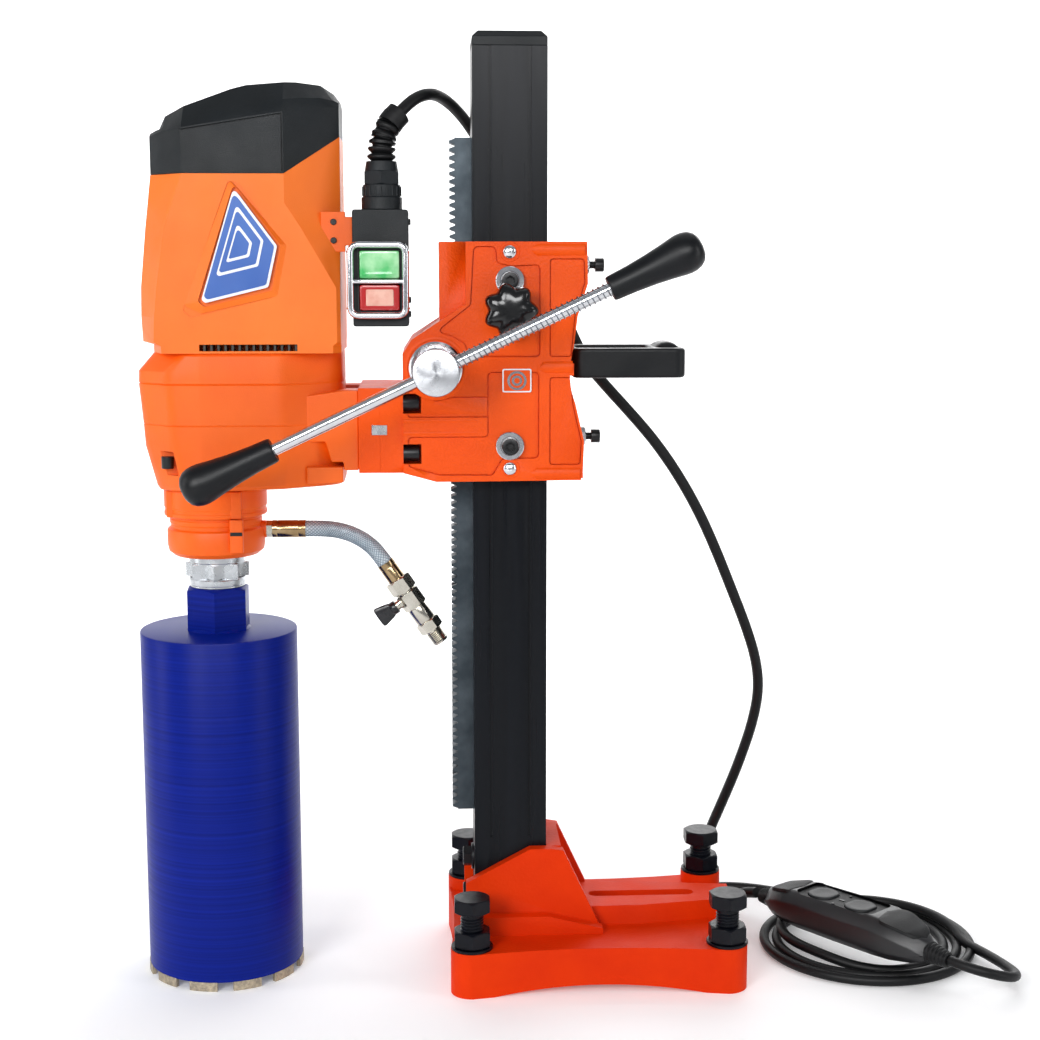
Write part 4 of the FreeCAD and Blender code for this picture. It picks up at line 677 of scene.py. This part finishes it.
def make_gearbox():
    def ring(z, left, grow=0.0, lift=0.0):
        right = MOTOR_BACK - grow * 0.2
        half = MOTOR_HALF - grow
        corners = [(left, -34), (left + 34, -66 + grow), (-308, -half), (-228, -half), (right, -38),
                   (right, 38), (-228, half), (-308, half), (left + 34, 66 - grow), (left, 34)]
        return [(x, y, z + lift * max(0, (x + 357) / 189)) for x, y in rounded(corners, 26, 3)]

    bm = bmesh.new()
    skin(bm, [ring(515, -353, 9, 6), ring(516.5, -356, 3, 6), ring(521, -358.5, 0.6, 4), ring(561, -369, 0),
              ring(582.4, -370.4), ring(583.2, -369.9, 0.8), ring(584, -370.5), ring(623.2, -374),
              ring(624.2, -373, 1.2), ring(625.2, -374), ring(636.5, -373.5), ring(652, -360, 1),
              ring(654.9, -357.5, 3)])
    cut = bmesh.new()
    for low in (567, 580, 593):
        prism(cut, box_outline(-26, 26, low, low + 7, 3), "x", -380, -366)
    both_sides(cut, rounded([(-372, 533), (-331, 533), (-336, 557.5), (-372, 557.5)], 2), 50, 75)
    case = carve(mesh_of(bm), "gear_case", cut)
    settle(case, "motor_paint", "carriage", ["gearbox_housing"], 0.9, 26)
    bm = bmesh.new()
    both_sides(bm, rounded([(-205, 566), (-186, 566), (-180, 545.5), (-168, 545.5), (-168, 537.2),
                            (-152.6, 537.2), (-152.6, 617.6), (-166, 617.6), (-205, 612)], 2), 26, 57)
    both_sides(bm, rounded([(-205, 524), (-168.4, 525), (-168.4, 541), (-205, 541)], 2), 24, 60)
    piece("gear_case_lugs", bm, "motor_paint", "carriage", bevel=1.6, segments=3)
    bm = bmesh.new()
    for side in (-1, 1):
        socket_screw(bm, at((-343, side * 55, 552), (0, 0, -1)), 6.2, 0, 12)
    piece("gear_case_screws", bm, "black_fasteners", "carriage", ["cap_screws"])


def socket_screw(bm, matrix, radius, low, high):
    """A socket head with a rounded rim and a hexagonal hole, from its seat up to its face."""
    rim = [(radius, low), (radius, high - 0.7), (radius - 0.25, high - 0.2), (radius - 0.8, high)]
    rings = [polar(size, height, 40) for size, height in rim]
    for height in (high, (low + high) / 2):
        rings.append(polar(lambda angle: hexagon(radius * 0.5, angle), height, 40))
    skin(bm, rings, matrix)


def make_nose():
    low, mid, top = 445, 474, 487
    bm = bmesh.new()
    lathe(bm, [(26.2, 487.1), (52, 487.1), (52.6, 488), (52.6, 491), (51.8, 492), (51.8, 495), (52.6, 496),
               (52.6, 512), (52, 514.9), (26.2, 514.9), (26.2, 487.1)], at((SPINDLE_X, 0, 0)), 96)
    for x, y in ((-278, -44.2), (-278, 44.2), (-343, -30), (-343, 30)):
        prism(bm, box_outline(x - 6, x + 6, y - 4, y + 4, 2), "z", 487.3, 514.5)
    piece("nose_flange", bm, "motor_paint", "carriage", ["nose_housing"], bevel=0.5)
    bm = bmesh.new()
    lathe(bm, [(16.4, low + 9), (22.6, low + 9), (22.6, low + 0.4), (43, low + 0.4), (48.6, low + 5),
               (50, low + 11), (50, mid - 3), (49.2, mid - 1), (46.3, mid + 0.5), (46.3, mid + 4),
               (47.2, mid + 5.2), (47.2, mid + 9), (46.4, mid + 10), (46.4, top - 0.1), (16.4, top - 0.1),
               (16.4, low + 9)], at((SPINDLE_X, 0, 0)), 96)
    lathe(bm, [(9, 40), (9, 51.4), (8.4, 52), (4, 52)], at((SPINDLE_X, 0, 470), (1, 0, 0)), 32)
    prism(bm, box_outline(-284, -270.6, -51.5, -42, 2), "z", low + 8, top - 0.5)
    piece("water_swivel", bm, "motor_paint", "carriage", ["water_collar"], bevel=0.5)
    bm = bmesh.new()
    # A thin black box on the lug stands for its slot: painted shade for the opening
    prism(bm, box_outline(-283.4, -271.2, -51.8, -44), "z", 470.4, 474.2)
    piece("swivel_slot_painted_shade", bm, "cap_black", "carriage", bevel=0.3)


def make_bit():
    centre = at((SPINDLE_X, 0, 0))
    bm = bmesh.new()
    lathe(bm, [(78, 9.5), (81, 9.5), (81, 364.6), (80.6, 365.5), (79.4, 366), (18, 366), (18, 363),
               (78, 363), (78, 9.5)], centre, 128)
    hex_head(bm, centre, 30, 365.5, 411.3)
    lathe(bm, [(29, 365.9), (33.4, 365.9), (30.4, 368.5), (29, 368.5)], centre, 64)
    piece("core_barrel", bm, "bit_blue", "spindle", ["core_bit"], sharp=28)
    bm = bmesh.new()
    count = 11
    for tooth in range(count):
        middle = math.tau * (tooth + 0.4) / count
        outline = []
        for radius, span in ((81.7, 1), (77.3, -1)):
            for step in range(7):
                angle = middle + span * (step / 6 - 0.5) * 29.5 / 79.5
                outline.append((radius * math.cos(angle), radius * math.sin(angle)))
        prism(bm, outline, "z", 0.1, 9.8, centre)
    piece("segments", bm, "segment_metal", "spindle", ["bit_segments"], bevel=0.5)
    bm = bmesh.new()
    lathe(bm, [(12, 411.5), (24, 411.5), (28.6, 413.4), (29, 414.2), (29, 419.6), (28.4, 420.6), (24, 421),
               (24, 436.6), (28.4, 437), (29, 438), (29, 443.4), (28.4, 444.4), (16, 444.4), (16, 452),
               (12, 452)], centre, 80)
    for turn in (0, 45):
        prism(bm, box_outline(-23.2, 23.2, -23.2, 23.2), "z", 421.5, 436.2,
              centre @ Matrix.Rotation(math.radians(turn), 4, "Z"))
    piece("spindle_nose", bm, "steel", "spindle", bevel=0.4, sharp=30)


def make_feed_bar():
    """The chromed bar with its coil spring and grips, and the turned hub that it passes through."""
    tilt = math.radians(25.3)
    along = Vector((math.cos(tilt), 0, math.sin(tilt)))
    centre = (FEED_X, -132, FEED_Z)
    bar = at(centre, along)
    bm = bmesh.new()
    lathe(bm, [(6.2, -200), (6.2, 205)], bar, 48)
    piece("feed_rod", bm, "chrome", "feed_shaft", ["feed_bar"])
    bm = bmesh.new()
    turns, steps = 30, 20
    wind = []
    for i in range(turns * steps + 1):
        angle = math.tau * i / steps
        wind.append((6.75 * math.cos(angle), 6.75 * math.sin(angle), 20.5 + 163 * i / (turns * steps)))
    sweep(bm, wind, 0.62, 8, bar)
    piece("feed_spring", bm, "spring_steel", "feed_shaft", ["bar_spring"], sharp=60)
    bm = bmesh.new()
    grip = [(6.4, 0), (11.2, 0), (12, 1.2), (12.4, 4), (13.2, 22), (15, 42), (17.4, 60), (19.4, 72),
            (19.95, 77), (19.6, 83), (18, 88.4), (14.6, 93), (9.4, 95.9), (3.6, 96.9), (0.2, 97)]
    lathe(bm, [(r, 184 + h) for r, h in grip], bar, 56)
    lathe(bm, [(r, 172 + h) for r, h in grip], at(centre, -along), 56)
    piece("grips", bm, "knob_black", "feed_shaft", ["feed_grips"], sharp=50)
    bm = bmesh.new()
    lathe(bm, [(12, 60), (12, 102), (18.4, 102), (19, 103), (19, 140), (21.8, 141), (22.5, 142),
               (22.5, 146.2), (22, 147), (21.2, 147.3), (0.2, 147.3)],
          at((FEED_X, 0, FEED_Z), (0, -1, 0)), 96)
    piece("feed_hub", bm, "turned_steel", "feed_shaft")
    bm = bmesh.new()
    lathe(bm, [(12.3, 61.5), (12.3, 73), (17, 73), (17, 72), (20.5, 72), (20.5, 74.5), (24.6, 74.5),
               (26.4, 73), (26.4, 61.5)], at((FEED_X, 0, FEED_Z), (0, -1, 0)), 80)
    piece("feed_ring", bm, "chrome", "carriage", ["hub_ring"])


def make_knob():
    """A star knob with seven soft lobes on its threaded stem."""
    bm = bmesh.new()
    rings = []
    for height, scale, fill in ((0, 0.86, 0.7), (1.5, 0.95, 1), (4, 1, 1), (12, 0.99, 1), (15.4, 0.95, 1),
                                (18, 0.87, 0.92), (20, 0.74, 0.78), (21.3, 0.54, 0.5), (21.8, 0.34, 0.2),
                                (21.9, 0.1, 0)):
        rings.append(polar(
            lambda angle: (22.3 + 5.2 * (0.5 + 0.5 * math.cos(7 * angle)) ** 0.85 * fill) * scale,
            height, 112))
    skin(bm, rings, at(KNOB, (0, -1, 0)))
    lathe(bm, [(5, 35.8), (5, 13), (11, 12.6), (11.4, 12), (12, 0), (5, 0)], at(KNOB, (0, 1, 0)), 40)
    piece("star_knob", bm, "knob_gloss", "lock_knob", ["lock_knob"], sharp=40)


def trench(bm, outline):
    """A closed channel along an outline, on both sides, which draws a dark line round a panel."""
    inner, outer, half = 62.6, 68, 0.55
    for side in (-1, 1):
        rings = []
        for i, (x, z) in enumerate(outline):
            after, before = outline[(i + 1) % len(outline)], outline[i - 1]
            run = Vector((after[0] - before[0], after[1] - before[1])).normalized() * half
            rings.append([(x + run.y * a, side * b, z - run.x * a)
                          for a, b in ((1, inner), (1, outer), (-1, outer), (-1, inner))])
        skin(bm, rings + [rings[0]], caps=False)


def ribs(bm, z, wall, height, stations, steps):
    """A low rounded rib on both sides of the carriage; stations are (x, radius) along it."""
    for side in (-1, 1):
        arc = [math.pi * k / steps for k in range(steps + 1)]
        skin(bm, [[(x, side * (wall + radius * height * math.sin(a)), z + radius * math.cos(a)) for a in arc]
                  for x, radius in stations])


def make_carriage():
    upper = rounded([(-37, 759), (-15.5, 759), (-14, 743), (1, 740), (28.4, 741.4), (28.4, 651), (-42, 651),
                     (-46, 664), (-58, 671), (-74, 676), (-40.4, 702)], 5)
    lower = rounded([(-23.4, 635.5), (27.4, 635.5), (27.2, 549.6), (-9, 549), (-19, 532.6), (-72, 533),
                     (-103, 541.5), (-103, 571), (-23.4, 571)], 5)
    middle = rounded([(-103, 591), (-23.4, 591), (-23.4, 611), (-57, 611), (-75, 607), (-88, 611),
                      (-94, 617), (-103, 617)], 3)
    strip_up = rounded([(38.6, 747), (72, 747), (73, 724), (63.4, 692), (59.6, 651), (38.6, 651)], 3)
    strip_low = rounded([(38.6, 630), (59.2, 630), (61.4, 604), (70.2, 566), (69, 543), (38.6, 543)], 3)
    cut = bmesh.new()
    for outline, level in ((upper, 64.2), (lower, 64.2), (middle, 64.2), (strip_up, 64.8), (strip_low, 64.8)):
        both_sides(cut, outline, level, 68)
        trench(cut, outline)
    for low, high in ((526, 545), (629, 650), (746, 766)):
        prism(cut, box_outline(24, 80, low, high), "y", -72, -66)
    prism(cut, box_outline(62.4, 80, 629, 650), "y", -72, -48.5)
    casting = carve(NODES["carriage_casting"].data, "carriage_body", cut)
    settle(casting, "carriage_paint", "carriage", ["carriage_casting"], 0.8, 26)
    bm = bmesh.new()
    for z, tip, end in ((756, 17, 73), (640.5, 25, 61), (534, 17, 69)):
        ribs(bm, z, 64.5, 0.62, ((tip, 0.4), (tip + 8, 6.2), (end, 6.2)), 12)
    for z in (587.4, 575):
        ribs(bm, z, 64.4, 0.75, ((-107.5, 3), (-60, 2.8), (-34, 2.4), (-24, 0.3)), 8)
    for side in (-1, 1):
        lathe(bm, [(26.8, 65.2), (28.2, 66.8), (30.6, 66.8), (32.4, 65.4)],
              at((FEED_X, 0, FEED_Z), (0, side, 0)), 72)
        for z in (754, 539):
            lathe(bm, [(7.2, 65.6), (7.8, 66.6), (9.6, 66.6), (10.4, 65.6)],
                  at((SCREWS_X, 0, z), (0, side, 0)), 48)
    piece("carriage_ribs", bm, "carriage_paint", "carriage", sharp=40)
    bm, rim, plugs = bmesh.new(), bmesh.new(), bmesh.new()
    for side in (-1, 1):
        for z in (726, 562):
            spot = at((SCREWS_X, 0, z), (0, side, 0))
            lathe(rim, [(5.1, 66), (14, 66), (14, 68.4), (13.3, 69), (9.6, 69), (9.2, 68.2), (5.1, 68.2),
                        (5.1, 66)], spot, 56)
            socket_screw(bm, spot, 8.4, 68.2, 77.8)
            lathe(bm, [(5, 43.6), (5, 69)], spot, 24)
        for z in (754, 539):
            lathe(plugs, [(6.4, 66), (6.5, 66.6), (5.6, 67.7), (3.6, 68.6), (1.4, 69), (1.3, 68.6),
                          (0.2, 68.6)],
                  at((SCREWS_X, 0, z), (0, side, 0)), 40)
    piece("slide_screws", bm, "black_fasteners", "carriage", ["pad_screws"])
    piece("slide_washers", rim, "chrome", "carriage")
    piece("dome_plugs", plugs, "chrome", "carriage", ["grease_plugs"])
    bm = bmesh.new()
    for y in (-55, 55):
        for z in (554, 604.5):
            socket_screw(bm, at((0, y, z), (1, 0, 0)), 8, -108, -92)
            lathe(bm, [(5, -146), (5, -107.8)], at((0, y, z), (1, 0, 0)), 24)
    piece("flange_screws", bm, "black_fasteners", "carriage", ["mount_screws"])
    bm, nuts = bmesh.new(), bmesh.new()
    for z, wall in ((565, 73), (741, 76)):
        spot = at((0, 0, z), (1, 0, 0))
        lathe(bm, [(3.6, 43.6), (3.6, wall + 13.5)], spot, 24)
        thread(bm, spot, 4, 0.4, 1.25, wall + 7.6, wall + 12.6, 24)
        socket_screw(bm, spot, 7, wall + 13, wall + 22)
        hex_head(nuts, spot, 8, wall + 0.1, wall + 7, True)
    piece("adjusting_screws", bm, "black_fasteners", "carriage", ["rear_screws"])
    piece("adjusting_nuts", nuts, "steel", "carriage")


def make_handle():
    """A flat loop with a rounded grip across its outer end."""
    bm, cut = bmesh.new(), bmesh.new()
    prism(bm, box_outline(62.8, 177.8, -48, 48, 12, 8), "z", 628.1, 658)
    prism(cut, box_outline(70, 145, -31, 31, 8, 6), "z", 620, 670)
    loop = carve(mesh_of(bm), "handle_loop", cut)
    settle(loop, "knob_black", "carriage", ["carry_handle"], 3.2, 34, 4)
    bm = bmesh.new()
    skin(bm, [hoop(Vector((161.4, y, 646.6)), Vector((16.4, 0, 0)), UP * (17.2 - drop), 40)
              for y, drop in ((-29, 6), (-26, 1.6), (-14, 0.2), (0, 0), (14, 0.2), (30, 1.6), (38, 6))])
    piece("handle_grip", bm, "knob_black", "carriage", sharp=60)


BUTTONS = (("start_button", "start_green", 728, 755), ("stop_button", "stop_red", 697, 722))


def button_wells():
    """Openings a little larger than the two push buttons and deeper than their travel."""
    cut = bmesh.new()
    for _, _, low, high in BUTTONS:
        prism(cut, box_outline(-149.6, -109.4, low - 0.6, high + 0.6, 2.4), "y", -72, -63)
    return cut


def make_switch():
    bm = bmesh.new()
    prism(bm, box_outline(-156, -101, 681, 795, 3), "y", -68, -24.2)
    case = carve(mesh_of(bm), "switch_case", button_wells())
    settle(case, "cap_black", "carriage", ["switch_box"], 0.8, 32, 3)
    bm = bmesh.new()
    prism(bm, box_outline(-151.2, -104, 690.5, 762.5, 3), "y", -70.5, -67.6)
    panel = carve(mesh_of(bm), "switch_panel", button_wells())
    settle(panel, "cap_black", "carriage", (), 0.3)
    bm = bmesh.new()
    rail = [Vector((x, -76.5 - 0.6 * math.cos((z - 726) / 12), z))
            for x, z in box_outline(-158, -104, 692, 761, 9, 6)]
    rings = []
    for i, here in enumerate(rail):
        ahead = (rail[(i + 1) % len(rail)] - rail[i - 1]).normalized()
        rings.append(hoop(here, ahead.cross(BACK).normalized() * 3.4, BACK * 3.6, 12))
    skin(bm, rings + [rings[0]], caps=False)
    sweep(bm, [(-158, -76.5, 725.3), (-150, -77.6, 725.3), (-112, -77.6, 725.3), (-104, -76.5, 725.3)],
          2.2, 12)
    for z in (699, 754):
        sweep(bm, [(-158, -76, z), (-160.6, -70, z), (-157.5, -62, z)], 1.6, 8)
        sweep(bm, [(-104, -76, z), (-101.4, -70, z), (-101.2, -62, z)], 1.6, 8)
    piece("cover_frame", bm, "chrome", "carriage", ["switch_cover"], sharp=60)
    for name, look, low, high in BUTTONS:
        bm = bmesh.new()
        rings = []
        for y, inset, radius in ((-66.5, 0, 2), (-72.6, 0, 2), (-73.6, 0.5, 2), (-74.1, 1.8, 2),
                                 (-73.5, 5, 2), (-73.2, 9, 1.5)):
            outline = box_outline(-149 + inset, -110 - inset, low + inset, high - inset, radius, 3)
            rings.append([(x, y, z) for x, z in outline])
        skin(bm, rings)
        piece(name + "_cap", bm, look, name, [name], sharp=40)
    bm = bmesh.new()
    prism(bm, box_outline(-143, -116, 701.5, 717.5, 1.5), "y", -74, -73)
    piece("stop_lens", bm, "lens_pale", "stop_button", bevel=0.3)
    bracket = carve(NODES["switch_bracket"].data, "bracket")
    settle(bracket, "bracket_paint", "carriage", ["switch_bracket"], 0.8, 26)
    bm = bmesh.new()
    for z in (765, 783):
        lathe(bm, [(1.2, 57.6), (3.1, 57.6), (3.1, 58.9), (2.6, 59.4), (1.2, 59.4)],
              at((-174.5, 0, z), (0, -1, 0)), 32)
    piece("bracket_screws", bm, "black_fasteners", "carriage")
    bm = bmesh.new()
    for z in (690, 704, 780):
        prism(bm, box_outline(-101.4, -98.8, z, z + 6, 1), "y", -62, -52)
    piece("switch_latches", bm, "cap_black", "carriage", bevel=0.4)


def make_gland():
    """The cable gland on the switch box and the flexible boot whose fins follow the lead."""
    axis = at((GLAND_X, GLAND_Y, 0))
    bm = bmesh.new()
    lathe(bm, [(6.2, 795), (19.5, 795), (20, 795.6), (20, 806.6), (19.2, 807.4), (6.2, 807.4)], axis, 12)
    lathe(bm, [(6.2, 807), (18.2, 807), (18.6, 808), (18.6, 818), (18.2, 819), (6.2, 819)], axis, 48)
    hex_head(bm, axis, 16.6, 818.6, 833, True)
    lathe(bm, [(6.2, 832), (16.6, 832), (15.6, 838), (14.9, 841.8), (6.2, 841.8)], axis, 48)
    for c, s in spokes(20):
        sweep(bm, [(GLAND_X + 18.5 * c, GLAND_Y + 18.5 * s, z) for z in (808.4, 812, 817.4)], 1.0, 6)
    piece("gland", bm, "cap_black", "carriage", ["cable_gland"], bevel=0.3)
    line = [Vector(p) for p in ((-127, -50, 841.5), (-126.9, -50, 847), (-126.6, -49.9, 853),
                                (-125.9, -49.7, 859), (-124.6, -49.3, 865), (-122.4, -48.5, 871),
                                (-119.2, -47.2, 877), (-115.2, -45.6, 882.5), (-110.4, -43.6, 887.6))]
    dense = [a.lerp(b, t / 8) for a, b in zip(line, line[1:]) for t in range(12)] + [line[-1]]
    rings = []
    for i, (point, side, up) in enumerate(path_frames(dense)):
        share = i / (len(dense) - 1)
        radius = 9.8 - 1.4 * share
        if share < 0.74:
            fin = 0.5 - 0.5 * math.cos(math.tau * share / 0.74 * 5)
            radius += fin ** 0.8 * (4.6 - 1.5 * share)
        elif share < 0.98:
            radius += 4.0
        radius = min(radius, 14.4)
        rings.append(hoop(point, side * radius, up * radius, 40))
    bm = bmesh.new()
    skin(bm, rings)
    piece("lead_boot", bm, "lead_rubber", "carriage", ["strain_relief"], sharp=50)


def make_stand():
    """The big castings and bars keep their CAD shape, with softened edges."""
    for node, name, body, bevel in (
        ("base_casting", "base_body", "stand", 1.6), ("column_tube", "column", "stand", 0.7),
        ("column_cap", "column_end_cap", "stand", 1.0), ("mount_plate", "motor_plate", "carriage", 1.0),
        ("mount_key", "plate_key", "carriage", 0.5), ("rack", "rack_bar", "stand", 0.25),
    ):
        item = carve(NODES[node].data, name)
        settle(item, SLOTS[node], body, [node], bevel, 26, 3 if node == "base_casting" else 2)
    bm = bmesh.new()
    for z in (73, 113):
        spot = at((0, 0, z), (-1, 0, 0))
        lathe(bm, [(6.1, 37.6), (14, 37.6), (14, 39.6), (13.4, 40.2), (6.1, 40.2)], spot, 48)
        hex_head(bm, spot, 9.5, 40, 49.2)
        lathe(bm, [(6, -50), (6, 40.5)], spot, 24)
    piece("column_screws", bm, "black_fasteners", "stand", ["column_bolts"])


def make_levels():
    nuts = bmesh.new()
    for corner, x, y, top in (("near_left", -42, -92, 47), ("near_right", 222, -92, 47),
                              ("far_left", -42, 92, 60), ("far_right", 222, 92, 60)):
        node = "levelling_screw_" + corner
        low, high = [end.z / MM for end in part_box(node)]
        spot = at((x, y, 0))
        bm = bmesh.new()
        lathe(bm, [(9.6, low), (11, low + 1.6), (11, high - 15.4)], spot, 48)
        thread(bm, spot, 12, 1.2, 3, low + 3, high - 19)
        lathe(bm, [(11, high - 17), (12, high - 16), (12, high - 14)], spot, 48)
        hex_head(bm, spot, 18, high - 15, high, True)
        piece("level_" + corner, bm, "level_black", node, [node], sharp=30)
        lathe(nuts, [(12.4, top), (21, top), (21.5, top + 0.5), (21.5, top + 2.5), (21, top + 3),
                     (12.4, top + 3), (12.4, top)], spot, 64)
        hex_head(nuts, spot, 18, top + 3, top + 20, True)
    piece("lock_nuts", nuts, "level_black", "stand", ["levelling_nuts"], sharp=30)


GUARD_BUTTONS = (("guard_test_button", -34), ("guard_reset_button", 16))


def flatted(x, size):
    """A round button's outline with its two ends along X flattened."""
    return [(x + size * max(-0.9, min(0.9, c)), size * s) for c, s in spokes(48)]


def guard_wells(cut, turn):
    """Adds openings a little larger than the guard's buttons and deeper than their travel."""
    for node, x in GUARD_BUTTONS:
        prism(cut, flatted(x, 17.4), "z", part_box(node)[0].z / MM - 2.4, 64, turn)
    return cut


def octagon(left, right, half, cut_x, cut_y):
    """A rounded plan with its four corners cut off, symmetrical about the X axis."""
    return rounded([(left, -half + cut_y), (left + cut_x, -half), (right - cut_x, -half),
                    (right, -half + cut_y), (right, half - cut_y), (right - cut_x, half),
                    (left + cut_x, half), (left, half - cut_y)], 7)


def make_guard():
    """The in-line breaker: a waisted moulding, darker end pads, a sunk panel and two buttons."""
    turn = Matrix.Translation(Vector(GUARD) * MM) @ Matrix.Rotation(GUARD_TURN, 4, "Z") @ RIG
    stations = [(-108, 12, 30, 45), (-104, 16, 27, 50), (-92, 22, 24, 56), (-72, 27.5, 22.6, 61),
                (-52, 30, 22.3, 63.4), (0, 31, 22.3, 64), (50, 30.4, 22.3, 64), (70, 28.6, 22.5, 61.5),
                (92, 22, 24, 56), (104, 16, 27, 50), (108, 12.4, 29, 47.6)]
    bm = bmesh.new()
    rings = []
    for x, half, low, high in stations:
        outline = rounded([(-half, low + 8), (-half + 7, low), (half - 7, low), (half, low + 8),
                           (half, high - 13), (half - 9, high), (9 - half, high), (-half, high - 13)], 5, 2)
        rings.append([(x, a, b) for a, b in outline])
    skin(bm, rings, turn)
    cut = bmesh.new()
    prism(cut, octagon(-58, 44, 22.5, 8, 5.5), "z", 59.2, 70, turn)
    guard_wells(cut, turn)
    shell = carve(mesh_of(bm), "guard_shell", cut)
    settle(shell, "guard_plastic", "stand", ["guard_housing"], 0.9, 40, 3)
    bm = bmesh.new()
    for start, run in ((105, 24.8), (-105, -15.8)):
        rings = []
        for i in range(25):
            share = i / 24
            half = 12.2 - 4.2 * share + (0.9 if i // 2 % 2 else 0)
            middle = Vector((start + run * share, 0, 37 - 2.2 * share))
            rings.append(hoop(middle, BACK * half, UP * (half - 1), 24))
        skin(bm, rings, turn)
    piece("guard_nozzles", bm, "lead_rubber", "stand", sharp=28)
    bm = bmesh.new()
    for first, last in ((-101, -60), (50, 102)):
        rings = []
        for step in range(15):
            share = step / 14
            x = first + (last - first) * share
            over = max(i for i in range(len(stations) - 1) if stations[i][0] <= x)
            near, far = stations[over], stations[over + 1]
            mix = (x - near[0]) / (far[0] - near[0])
            half, crest = [near[k] + (far[k] - near[k]) * mix for k in (1, 3)]
            half = (half - 5.5) * (1 - abs(2 * share - 1) ** 6) ** 0.5 + 0.4
            rings.append([(x, half * a, crest + b) for a, b in
                          ((-1, -3.5), (-0.97, -0.2), (-0.8, 0.35), (0, 0.5), (0.8, 0.35), (0.97, -0.2),
                           (1, -3.5))])
        skin(bm, rings, turn)
    piece("guard_pads", bm, "pad_dark", "stand", sharp=60)
    bm = bmesh.new()
    prism(bm, octagon(-57.6, 43.6, 22.2, 7.8, 5.4), "z", 58.6, 59.8, turn)
    panel = carve(mesh_of(bm), "guard_panel", guard_wells(bmesh.new(), turn))
    settle(panel, "pad_dark", "stand", (), 0.2)
    for node, x in GUARD_BUTTONS:
        bm = bmesh.new()
        rings = []
        low, high = [end.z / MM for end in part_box(node)]
        for height, inset in ((low, 0), (high - 1.4, 0), (high - 0.5, 0.5), (high, 1.6), (high - 0.25, 6),
                              (high - 0.5, 12)):
            rings.append([(a, b, height) for a, b in flatted(x, 16.8 - inset)])
        skin(bm, rings, turn)
        piece(node + "_cap", bm, "guard_buttons", node, [node], sharp=40)
    bm = bmesh.new()
    for y in (15.5, -15.5):
        lathe(bm, [(0.6, 59.7), (1.9, 59.7), (1.9, 60.6), (1.4, 61), (0.6, 61)],
              at(turn @ Vector((-9, y, 0)) / MM), 24)
    prism(bm, box_outline(-12.4, -5.6, -1.6, 1.6, 1), "z", 59.6, 60.6, turn)
    piece("guard_details", bm, "black_fasteners", "stand")


def make_water_fittings():
    """The crimped ferrules, swivel nut, ball valve body and threaded nipple on the hose."""
    head = at(HOSE_END, VALVE_AXIS)
    bm = bmesh.new()
    lathe(bm, [(8.1, -34), (9.2, -34), (9.2, -30), (8.9, -29), (9.2, -28), (9.2, -8), (8.9, -7), (9.2, -6),
               (9.2, 0), (8.1, 0)], at(HOSE_START, (1, 0, 0)), 48)
    lathe(bm, [(8.1, -1), (9.2, -1), (9.2, 4), (8.9, 5), (9.2, 6), (9.2, 20), (6, 20)], head, 48)
    piece("ferrules", bm, "ferrule_gold", "carriage", ["hose_ferrules"])
    bm = bmesh.new()
    hex_head(bm, at((-253, 0, 470), (1, 0, 0)), 7.6, 0, 8.2, True)
    hex_head(bm, head, 12.0, 20, 36, True)
    hex_head(bm, head, 11.0, 37, 56, True)
    lathe(bm, [(9.4, 35), (9.4, 38)], head, 40)
    lathe(bm, [(9.8, 55), (10.6, 57), (10.6, 73), (9.6, 75)], head, 48)
    hex_head(bm, head, 11.2, 74, 86, True)
    lathe(bm, [(4, 86), (8.2, 86), (8.2, 100.6), (7.6, 101.9), (4.6, 101.9), (4.6, 90)], head, 40)
    thread(bm, head, 9, 0.8, 1.8, 87.4, 100.4, 32)
    piece("ball_valve", bm, "fitting_nickel", "carriage", ["valve_body"], sharp=28)


def make_valve_lever():
    """A wing lever: a hub on the silver stem, with a blade that widens and thins towards its tip."""
    out = Vector((-math.sin(VALVE_SLOPE), 0, -math.cos(VALVE_SLOPE)))
    spot = (Matrix.Translation((Vector(HOSE_END) + VALVE_AXIS * 44) * MM)
            @ Matrix((VALVE_AXIS, BACK, out)).transposed().to_4x4() @ RIG)
    bm = bmesh.new()
    lathe(bm, [(1.5, 16.5), (6.4, 16.5), (7, 17.4), (7, 22), (6, 23.4), (1.5, 23.4)], spot, 32)
    rings = []
    for height, wide, thick in ((17.5, 5, 3.4), (20.5, 6.4, 2.9), (25, 8.2, 2.4), (31, 9.6, 2.3),
                                (37, 10.8, 2.4), (39.2, 10.2, 2.0), (39.9, 8, 1.2)):
        rings.append([(wide * math.copysign(abs(c) ** 0.6, c), thick * s, height) for c, s in spokes(32)])
    skin(bm, rings, spot)
    piece("lever_wing", bm, "valve_black", "valve_lever", ["valve_lever"], sharp=40)
    bm = bmesh.new()
    lathe(bm, [(3, 8.5), (6, 8.5), (6, 12.4), (5, 13), (5, 16.6), (3, 16.6)], spot, 32)
    piece("lever_stem", bm, "fitting_nickel", "carriage")


add_camera()
add_studio()
make_looks()
dress_nodes()
make_cords()
make_hose()
make_motor()
make_badges()
make_gearbox()
make_nose()
make_bit()
make_feed_bar()
make_knob()
make_carriage()
make_handle()
make_switch()
make_gland()
make_stand()
make_levels()
make_guard()
make_water_fittings()
make_valve_lever()
